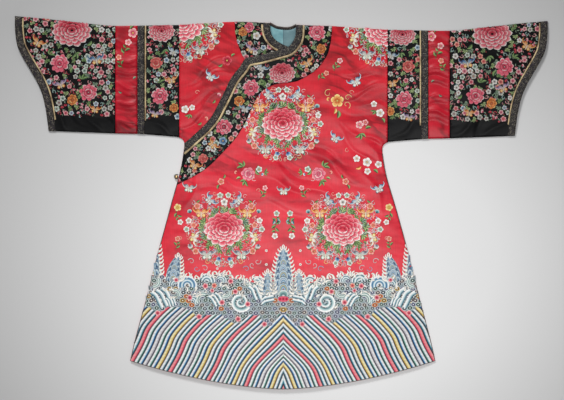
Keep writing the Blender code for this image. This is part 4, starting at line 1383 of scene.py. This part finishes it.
BANDS_GREEN = ((240, 243, 238), (244, 248, 246), (64, 112, 116), (132, 172, 168), (232, 240, 234),
               (244, 248, 244), (128, 168, 160), (72, 116, 116), (244, 248, 244), (184, 202, 194))
BANDS_TEAL = ((246, 250, 250), (246, 250, 250), (38, 88, 106), (84, 138, 152), (224, 236, 236),
              (246, 250, 250), (112, 162, 172), (60, 112, 124), (246, 250, 250), (166, 194, 200))
BANDS_ROLL = ((250, 252, 250), (250, 252, 250), (206, 224, 224), (132, 172, 176), (44, 92, 104))
BANDS_SLANT = ((30, 72, 92), (104, 150, 164), (212, 230, 232), (252, 254, 252), (252, 254, 252))
ROCK_EDGES = ((196, 214, 220), (36, 66, 104), (130, 164, 188), (80, 122, 160))
ROCK_RIMS = ((228, 212, 140), (226, 234, 234))
ROCK_HEARTS = (SILKS["rose"][1], SILKS["yellow"][1], (74, 66, 96), SILKS["coral"][1])

Wave = namedtuple("Wave", "kind x y size turn")
WAVES = [Wave(*row) for row in (
    ("blue", 96, -83, 9.6, 0), ("green", 42.7, -99.4, 9, 30), ("small", 76.5, -79, 8.2, 10),
    ("side", 80.5, -97.4, 8.4, -50), ("slant", 122, -95, 9, 4), ("slant", 27, -89, 7.4, 8),
    ("slant", 16, -96, 6, -72), ("small", 108, -82, 6, -20), ("small", 26.6, -80, 6.4, 30),
    ("side", 129, -79, 6.8, 120), ("small", 62.6, -78, 5.6, 30), ("side", 58, -89.6, 6.6, 150),
    ("small", 141, -88, 7, 30), ("side", 108, -92, 6, 40), ("small", 91, -99, 5.8, 20),
    ("slant", 68, -97, 6.2, 0), ("side", 36, -85.6, 5.4, 60), ("slant", 112.6, -99, 4.6, 10),
)]
# The waves drawn as arcs: bands, sweep, lift and share of the core
ARCS = {"blue": (BANDS_BLUE, 220, 3, 0.18), "small": (BANDS_TEAL, 170, 2, 0.18),
        "side": (BANDS_GREEN, 150, 2, 0.4)}
Rock = namedtuple("Rock", "x top foot half lean foam cores")
ROCKS = [Rock(15.6, -69.0, -91.0, 5.6, 0, (1, -1), 3), Rock(110.0, -53.0, -78.0, 7.4, -5.0, (-1,), 4),
         Rock(132.5, -22.0, -72.0, 9.4, 0, (-1,), 6)]
MIDDLE_ROCK = Rock(0, -45.0, -88.0, 9.6, 0, (1, -1), 6)
BORDER_FLOWERS = motifs(
    ("blossom", 77.9, -83.4, 3, 0, "rose"), ("blossom", 61.2, -99.8, 3, 0, "rose"),
    ("blossom", 93.4, -95, 3, 20, "rose"), ("blossom", 52.6, -78.6, 2.9, 0, "rose"),
    ("blossom", 48, -89, 2.9, 30, "rose"), ("blossom", 35.6, -101.5, 2.9, 0, "rose"),
    ("blossom", 84.2, -114.1, 3, 0, "rose"), ("blossom", 45.2, -116.4, 3, 0, "rose"),
    ("blossom", 125.5, -110.4, 2.9, 0, "rose"), ("blossom", 18.9, -121.6, 2.9, 0, "rose"),
    ("blossom", 69, -83, 2.8, 40, "coral"), ("blossom", 107, -77.4, 2.4, 0, "rose"),
    ("blossom", 71, -88, 2.2, 0, "rose"),
)


def level(table, out):
    return np.interp(np.abs(out), *zip(*table))


def arc_bands(s, x, y, size, turn, bands, sweep, lift, core):
    """A rolling wave: bands of silk round part of a circle."""
    angle = np.radians(np.linspace(turn - sweep / 2, turn + sweep / 2, 20) + 90)
    reach = np.linspace(size, core * size, len(bands))[:, None]
    raised = 1.2 * np.sin(np.linspace(0, math.pi, len(bands)))[:, None]
    s.grid(polar(x, y, reach, angle), np.array(bands, float)[:, None], lift + raised, 1)


def roll(s, x, y, size, turn):
    """A spiral wave of white and tinted silk."""
    t = np.linspace(0, 1, 44)
    line = polar(x, y, size * (1 - 0.86 * t), math.radians(turn) + 2 * math.pi * 1.7 * t)
    ribbon(s, line, 0.50 * size * (1 - 0.55 * t), BANDS_ROLL, 3)


SLANT_LINE = np.array([(-0.7, -0.9), (-0.3, -0.2), (0.1, 0.45), (0.6, 0.75)])


def slant(s, x, y, size, turn):
    """A wave of straight bands that lean over and curl at the top."""
    for k, shift in enumerate((-0.5, 0.0, 0.5)):
        line = (SLANT_LINE + (1.1 * shift, -0.5 * shift)) * size @ turning(turn) + (x, y)
        ribbon(s, smooth(line, 1.2), 0.46 * size, BANDS_SLANT, 3 + 0.2 * k)


def hook(s, x, y, size, turn, lift=4, way=1):
    """A fleck of foam: a tapering stroke whose end curls over."""
    t = np.linspace(0, 1, 9)
    step = polar(0, 0, size / 8, math.radians(turn) + 1.9 * t**1.5) * (way, 1)
    line = np.vstack([[0, 0], np.cumsum(step, axis=0)[:-1]]) + (x, y)
    ribbon(s, line, (2.3 - 1.7 * t) * size / 5.0, FOAM[::way], lift)


def stone(s, x, y, size, turn, silks, lift=1):
    """A ring stone; its rim lies lower, so that close stones meet at a line."""
    core, dark, pale = silks
    sloping = lift + np.linspace(1.4, 0, 7)[:, None]
    disc(s, x, y, size, 0.78 * size, (core, core, dark, dark, dark, pale, pale), sloping, turn, 9)


def arch(s, x, y, half, tall, silks, lift):
    """Nested arches, from the outer band to the core."""
    reach = half * np.linspace(1, 0.04, len(silks))[:, None]
    s.grid(polar(x, y, reach, np.radians(np.linspace(-14, 194, 11)), tall / half),
           np.array(silks, float)[:, None], lift, 1)


def draw_rock(s, rock):
    """A standing rock of nested arches, with foam along its edges."""
    tall = rock.top - rock.foot
    pale, navy, light, blue = ROCK_EDGES

    def outline(share):
        """Height, middle and half width of the rock at a share of its height."""
        half = rock.half * (1 - share**1.8) ** 0.55 + 0.25
        return rock.foot + tall * share, rock.x + rock.lean * share**2, half

    y, middle, half = outline(np.linspace(0, 1, 14)[:, None])
    across = np.linspace(-1, 1, 7)
    s.grid(np.stack([middle + half * across, y + 0 * across], 2),
           (pale, navy, light, pale, light, navy, pale), 3)
    for k in range(rock.cores):
        share = (k + 0.1) / rock.cores * 0.92
        y, middle, _ = outline(share)
        half = outline(min(share + 0.10, 0.95))[2]
        for way in (-1, 1):
            arch(s, middle + 0.60 * way * half, y + 0.10 * tall / rock.cores, 0.38 * half, 0.56 * half,
                 (light, navy, pale, pale, blue, light), 3.5)
        arch(s, middle, y, 0.56 * half, 0.80 * half,
             (navy, pale, pale, blue, ROCK_RIMS[k % 2], blue, light, pale, navy, ROCK_HEARTS[k % 4]), 3.9)
    count = max(3, round(tall / 3.8))
    for k in range(count):
        share = (k + 0.35) / count
        y, middle, half = outline(share)
        for way in rock.foam:
            hook(s, middle + way * (half - 1.0), y - 1.4, 7.0 - 2.0 * share, 5, 5, way)
    for way in (-1, 1):
        for aside, down, size, turn in ((0.3, 1.4, 5.0, 62), (1.0, 2.6, 4.6, 30)):
            hook(s, rock.x + rock.lean + aside * way, rock.top - down, size, turn, 5, way)


def stones(s, spots):
    """Ring stones on a grey ground, between the lower and the upper edge of the sea."""
    out = np.linspace(0, 156, 60)
    share = np.linspace(0, 1, 8)[:, None]
    low, high = level(STONES_LOW, out), level(STONES_HIGH, out)
    s.grid(np.stack([out + 0 * share, low + 1.5 + (high - low - 3.5) * share], 2), (136, 150, 156), 0)
    for x, y, size, turn, kind in spots:
        if level(STONES_LOW, x) + 1.2 < y < level(STONES_HIGH, x) - 1.2:
            stone(s, x, y, size, turn, RARE_STONES.get(kind, STONE_SILKS[kind % 5]))


def foam(s, pick):
    """Flecks of foam along the upper edge of the sea, and here and there on it."""
    for x in np.arange(4, 154, 3.1):
        if min(abs(x - 110), abs(x + 1)) > 8:
            hook(s, x, level(STONES_HIGH, x) - 2.2 + pick.uniform(-1, 1.8), pick.uniform(4.4, 7.0),
                 pick.uniform(30, 110), 3, 1 if pick.uniform() < 0.5 else -1)
    for x in np.arange(6, 154, 9.0):
        y = pick.uniform(level(STONES_LOW, x) + 12, level(STONES_HIGH, x) - 4)
        hook(s, x, y, pick.uniform(4.0, 6.0), pick.uniform(0, 180), 3,
             1 if pick.uniform() < 0.5 else -1)


def rollers(s, pick):
    """The larger waves, each with foam at its crest."""
    for kind, x, y, size, turn in WAVES:
        if kind in ARCS:
            arc_bands(s, x, y, size, turn, *ARCS[kind])
        elif kind == "green":
            roll(s, x, y, size, turn + 180)
        else:
            slant(s, x, y, size, turn)
        if kind == "blue":
            hook(s, x - 8.5, y - 1, 6.0, 250)
        for _ in range(3):
            hook(s, x + pick.uniform(-0.9, 0.9) * size, y + pick.uniform(0.5, 1.0) * size,
                 pick.uniform(3.6, 5.4), pick.uniform(20, 160))


def waves(s):
    """The sea at the foot of the robe: ring stones, rolling waves, rocks, foam and flowers."""
    pick = np.random.default_rng(4)
    spots = [(x + pick.uniform(-0.8, 0.8), y + pick.uniform(-0.6, 0.6), pick.uniform(2.5, 3.2),
              pick.uniform(-25, 25), pick.integers(0, 40))
             for row, y in enumerate(np.arange(-126, -60, 4.0))
             for x in np.arange((row % 2) * 2.8, 156, 5.4)]
    for way in (1, -1):
        s.start(MIDDLE, 0, way)
        stones(s, spots)
        foam(s, pick)
        rollers(s, pick)
        for motif in BORDER_FLOWERS:
            blossom(s, *motif[1:], 4, heart="red")
        for rock in ROCKS:
            draw_rock(s, rock)
    s.start(MIDDLE, 0)
    draw_rock(s, MIDDLE_ROCK)
    fan(s, 0, -94.0, 90, 160, 0.5, 6.6, BANDS_GREEN[1:5], 5, 11)
    disc(s, 0, -96.4, 5.0, 3.0, ((112, 12, 40), (200, 30, 66), (240, 100, 126), (206, 60, 90)), 6)
    for x in (-3.2, 3.2):
        disc(s, x, -96.4, 2.2, 2.4, ((112, 12, 40), (210, 40, 76), (240, 120, 140)), 7)
    for y, silks in ((-101.5, STONE_SILKS[2]), (-107.0, YELLOW_STONE)):
        stone(s, 0, y, 3.4, 0, silks, 5)
    s.start()


# Flowers on the black and red bands of the sleeves and on the lapel and neck

CUFF_FLOWERS = motifs(
    ("peony", 210, 170, 20, 0, "vivid"), ("small_peony", 222.2, 137.5, 9.6, 0, "vivid"),
    ("small_peony", 193.4, 108.5, 9.2, 20, "vivid"), ("small_peony", 209.4, 101, 5.6, 0, "orange"),
    ("butterfly", 185.4, 140, 8, 100, "blue"), ("butterfly", 244.4, 157.5, 7.4, 60, "orange"),
    ("butterfly", 221, 115.5, 7, 110, "lilac"), ("butterfly", 187, 90.6, 6, 80, "orange"),
    ("leaves", 199, 121.5, 6, 70), ("leaves", 206, 148, 6.4, -80), ("leaf", 211, 128, 7, 60),
    ("leaf", 180, 109, 6.4, 200), ("leaves", 232, 146, 5.6, 40), ("leaf", 190, 160, 7, 220),
)
BAND_FLOWERS = motifs(
    ("peony", 120.4, 169.5, 13.6, 0, "vivid"), ("small_peony", 122, 105, 8.8, 0, "vivid"),
    ("butterfly", 108.6, 148, 6.8, 70, "blue_white"), ("butterfly", 110.4, 120, 6.4, 100, "orange"),
    ("butterfly", 127, 86, 6, 80, "lilac"), ("small_peony", 126, 138, 6.4, 0, "coral"),
    ("leaves", 122, 118, 5.6, 80), ("leaves", 118, 151, 5.6, -80),
    ("small_peony", 108, 93, 4.6, 0, "orange"),
)
RED_BAND_FLOWERS = motifs(
    ("spray", 156, 152, 14, 70, "pink"), ("spray", 161, 138, 12, 110, "coral"),
    ("blossom", 149, 168, 5, 0, "rose"), ("leaf", 152, 172, 5.4, 40), ("leaf", 149, 122, 4, 30, "sage"),
    ("leaf", 160, 108, 4, 150, "sage"),
)
LAPEL_FLOWERS = motifs(
    ("peony", 0.8, 129, 13.6, 0, "vivid"), ("small_peony", -30.2, 114.5, 8.6, 0, "vivid"),
    ("small_peony", -57.2, 75.5, 8.6, 0, "vivid"), ("small_peony", 35.8, 170, 9, 0, "vivid"),
    ("small_peony", 39.8, 153.5, 5, 0, "orange"), ("small_peony", -42.2, 101.5, 5.4, 0, "orange"),
    ("blossom", -58.2, 61.5, 4.2, 0, "blue"), ("butterfly", -20.2, 133.5, 6.6, 60, "blue_white"),
    ("butterfly", 26.8, 138.5, 7, 120, "orange"), ("butterfly", -36.2, 92.5, 6.4, 80, "blue_white"),
    ("butterfly", -69.2, 57.5, 6.4, 40, "orange"), ("butterfly", -87.2, 36.5, 7, 60, "orange"),
    ("small_peony", -78, 44, 5, 0, "coral"), ("leaves", -16, 121, 5.6, 200), ("leaves", 17, 134, 5.6, 20),
    ("leaf", -48, 85, 6.4, 40),
)
NECK_FLOWERS = motifs(
    ("small_peony", -38.2, 170.5, 4.8, 0, "orange"), ("blossom", -24.6, 166.5, 4, 0, "white"),
    ("butterfly", -31.2, 152.5, 6.4, 60, "lilac"), ("small_peony", -32, 175, 5.4, 0, "vivid"),
)
# The silks on the black bands are darkened by this share against those on the red: painted shade.
BLACK_BANDS_PAINTED_SHADE = 0.85
FILL_SILKS = ("white", "green_white", "pink", "dull_white", "rose", "white", "coral", "pink",
              "green_white", "blue_white", "dull_white", "rose")
SLEEVE_FOOT = 81.5
# How far the embroidery keeps from a seam and from a band's edge, and corners beyond the cloth
SEAM_GAP = 0.001
BAND_GAP = 0.0012
CUFF_LOW = 0.19
CUFF_HIGH = 0.54
OUTER_CORNERS = ((-0.33, -0.60), (0.50, -0.60), (0.50, 0.55))
INNER_CORNERS = ((-0.33, 0.164), (-0.33, 0.60))


def fill(s, region, low, avoid, spacing, seed):
    """Plum blossoms, buds, leaves and tendrils, set close over a region, clear of the big flowers."""
    pick = np.random.default_rng(seed)
    region = region / UNIT
    spots = staggered(region.min(axis=0), region.max(axis=0), spacing, 0.87)
    spots = spots + pick.uniform(-0.16, 0.16, (len(spots), 2)) * spacing
    big = [m for m in avoid if "peony" in m.shape]

    def one_of(*names):
        return names[pick.integers(len(names))]

    for k, (x, y) in enumerate(spots[inside(spots, region)]):
        gap = min(math.hypot(x - m.x, y - m.y) - (0.86 if m in big else 0.52) * m.size for m in avoid)
        near = min([math.hypot(x - m.x, y - m.y) - m.size for m in big] + [99])
        kind = pick.uniform()
        silk = FILL_SILKS[(5 * k + pick.integers(3)) % len(FILL_SILKS)]
        turn = pick.uniform(0, 360)
        if gap < 0.9 or y < low + 2.5:
            continue
        if near < 4.0 and kind < 0.70 or kind < 0.10:
            leaves(s, x, y, 4.0, 1.6, turn, one_of("spring", "green", "sage"), 0,
                   (-84, -42, 0, 42, 84), 0.012)
        elif kind < 0.58:
            leaf(s, x, y, 4.0, 1.3, turn + 40, "green", 0)
            blossom(s, x, y, pick.uniform(2.3, 3.1), turn, silk, 1, one_of("dark", "dark", "orange", "red"))
        elif kind < 0.84:
            bud(s, x, y, 2.8, turn, one_of("red", "rose", "pink"), 1)
            leaf(s, x, y, 3.2, 1.3, turn + 180, "sage", 0)
            bud(s, x + 2.0, y - 2.2, 1.8, turn + 100, one_of("pink", "teal", "red"), 1)
        else:
            curl(s, x, y, 2.2, turn, one_of("rose", "teal", "red"), 1, 0.9, 0.8)
            leaf(s, x, y, 3.4, 1.4, turn + 120, "sage", 0)
        curl(s, x + 2.8, y - 1.8, 1.2, turn, one_of("rose", "sage", "red"), 0, 0.7, 0.45)


def on_black(name, cloth_piece, region, outline, low, table, spacing, seed):
    """The close embroidery of a black band."""
    s = Stitching(name, cloth_piece, region, outline)
    fill(s, region, low, table, spacing, seed)
    draw(s, table)
    # Painted shade: every colour of this set is darkened by that share.
    s.depth = BLACK_BANDS_PAINTED_SHADE
    return s


def inner_cuff():
    """The cuff's part inside its ribbon and cord."""
    edge = moved_out(smooth(CUFF_EDGE, EDGE_NET), RIBBON_WIDTH + CORD_WIDTH)
    seam = CUFF_SEAM + SEAM_GAP
    return np.vstack([(seam, CUFF_LOW), (edge[0][0], CUFF_LOW), edge, (edge[-1][0], CUFF_HIGH),
                      (seam, CUFF_HIGH)])


def clipped(arm, near, far):
    """The part of a sleeve's outline between two distances from the middle line."""
    return np.column_stack([np.clip(arm[:, 0], near, far), arm[:, 1]])


def sleeve_embroidery(made, side, way, shift):
    """The sets of one sleeve: black upper band, black cuff and red band."""
    arm = sleeve()
    outline = laid(flip(arm, way))
    band = clipped(arm, ARM_SEAM + SEAM_GAP, RED_SEAM - RIBBON_WIDTH - CORD_WIDTH)

    def moved(table):
        return [m._replace(x=way * m.x + 0.8, y=m.y + shift) for m in table]

    sets = [on_black(f"{piece}_embroidery_{side}", made[f"sleeve_{piece}_{side}_cloth"],
                     laid(flip(part, way)), outline, SLEEVE_FOOT + shift, moved(table), 6.0, seed + way)
            for piece, part, table, seed in (("band", band, BAND_FLOWERS, 8),
                                             ("cuff", inner_cuff(), CUFF_FLOWERS, 17))]
    red = Stitching(f"red_embroidery_{side}", made[f"sleeve_red_{side}_cloth"],
                    laid(flip(clipped(arm, RED_SEAM, CUFF_SEAM), way)))
    draw(red, moved(RED_BAND_FLOWERS))
    return [*sets, red]


def embroider(made):
    """All the embroidery, on the cloth that carries each part of it."""
    body = laid(whole_body())
    lapel, band, neck, border = edges_of(LAPEL_EDGE, LAPEL_BAND_EDGE, INNER_NECK, NECK_BAND_EDGE)
    trim = RIBBON_WIDTH + CORD_WIDTH
    outer = laid(np.vstack([band, OUTER_CORNERS]))
    black = laid(np.vstack([moved_out(lapel, trim), moved_out(band, -BAND_GAP)[::-1]]))
    patch = laid(np.vstack([moved_out(neck[::-1], trim)[::-1], border[::-1]]))
    beside = laid(np.vstack([border, lapel[lapel[:, 0] < border[-1][0]], INNER_CORNERS]))
    front = made["outer_front"]
    ground = Stitching("ground_embroidery", front, outer, body)
    border_stripes = Stitching("border_stripes", front, body)
    border_waves = Stitching("border_waves", front, body)
    inner = Stitching("inner_embroidery", made["inner_front_cloth"], beside, body)
    body_ground(ground)
    stripes(border_stripes)
    waves(border_waves)
    medallion(inner, *INNER_MEDALLION)
    draw(inner, INNER)
    sets = [ground, border_stripes, border_waves,
            on_black("lapel_embroidery", made["lapel_black_band"], black, body, -FAR / UNIT,
                     LAPEL_FLOWERS, 6.0, 21),
            on_black("neck_embroidery", made["neck_black_band"], patch, body, -FAR / UNIT,
                     NECK_FLOWERS, 5.8, 5), inner]
    sets += sleeve_embroidery(made, "left", 1, -2.0) + sleeve_embroidery(made, "right", -1, 1.5)
    for s in sets:
        s.make()


# Stage

def add(name, data):
    made = bpy.data.objects.new(name, data)
    bpy.context.scene.collection.objects.link(made)
    return made


def make_floor():
    size = 4.0
    mesh = bpy.data.meshes.new("floor")
    corners = [(-size, -size, 0), (size, -size, 0), (size, size, 0), (-size, size, 0)]
    mesh.from_pydata(corners, [], [(0, 1, 2, 3)])
    mesh.materials.append(floor_look())
    floor = add("floor", mesh)
    floor.location.z = -0.0002


def add_light(name, kind, place, size, power, aim=(0.0, 0.0, 0.0)):
    light = bpy.data.lights.new(name, kind)
    light.energy = power
    if kind == "AREA":
        light.shape = "DISK"
        light.size = size
    else:
        light.shadow_soft_size = size
    made = add(name, light)
    made.location = place
    made.rotation_mode = "QUATERNION"
    made.rotation_quaternion = (made.location - Vector(aim)).to_track_quat("Z", "Y")
    return light


def make_stage():
    make_floor()
    add_light("raking_window", "AREA", (-1.5, 4.0, 3.1), 1.4, 175.0)
    pool = add_light("pool", "SPOT", (0.3, -1.2, 6.4), 0.6, 850.0, (0.11, -0.34, 0.0))
    pool.spot_size = math.radians(22.0)
    pool.spot_blend = 1.0
    world = bpy.data.worlds.new("studio")
    world.use_nodes = True
    background = world.node_tree.nodes["Background"].inputs
    background["Color"].default_value = (1, 1, 1, 1)
    background["Strength"].default_value = 0.27
    bpy.context.scene.world = world
    bpy.context.scene.view_settings.view_transform = "Standard"

    camera = bpy.data.cameras.new("camera")
    camera.sensor_width = SENSOR
    camera.lens = SENSOR * CAMERA_HEIGHT / (IMAGE_WIDTH * UNIT)
    camera.clip_end = 100.0
    made = add("camera", camera)
    made.location = (VIEW_X, VIEW_Y, CAMERA_HEIGHT)
    bpy.context.scene.camera = made


def main():
    make_stage()
    back_pieces()
    made, lapel, neck, cuff = front_pieces()
    cords(lapel, neck, cuff)
    edge_piping()
    neck_binding()
    make_button()
    embroider(made)


main()
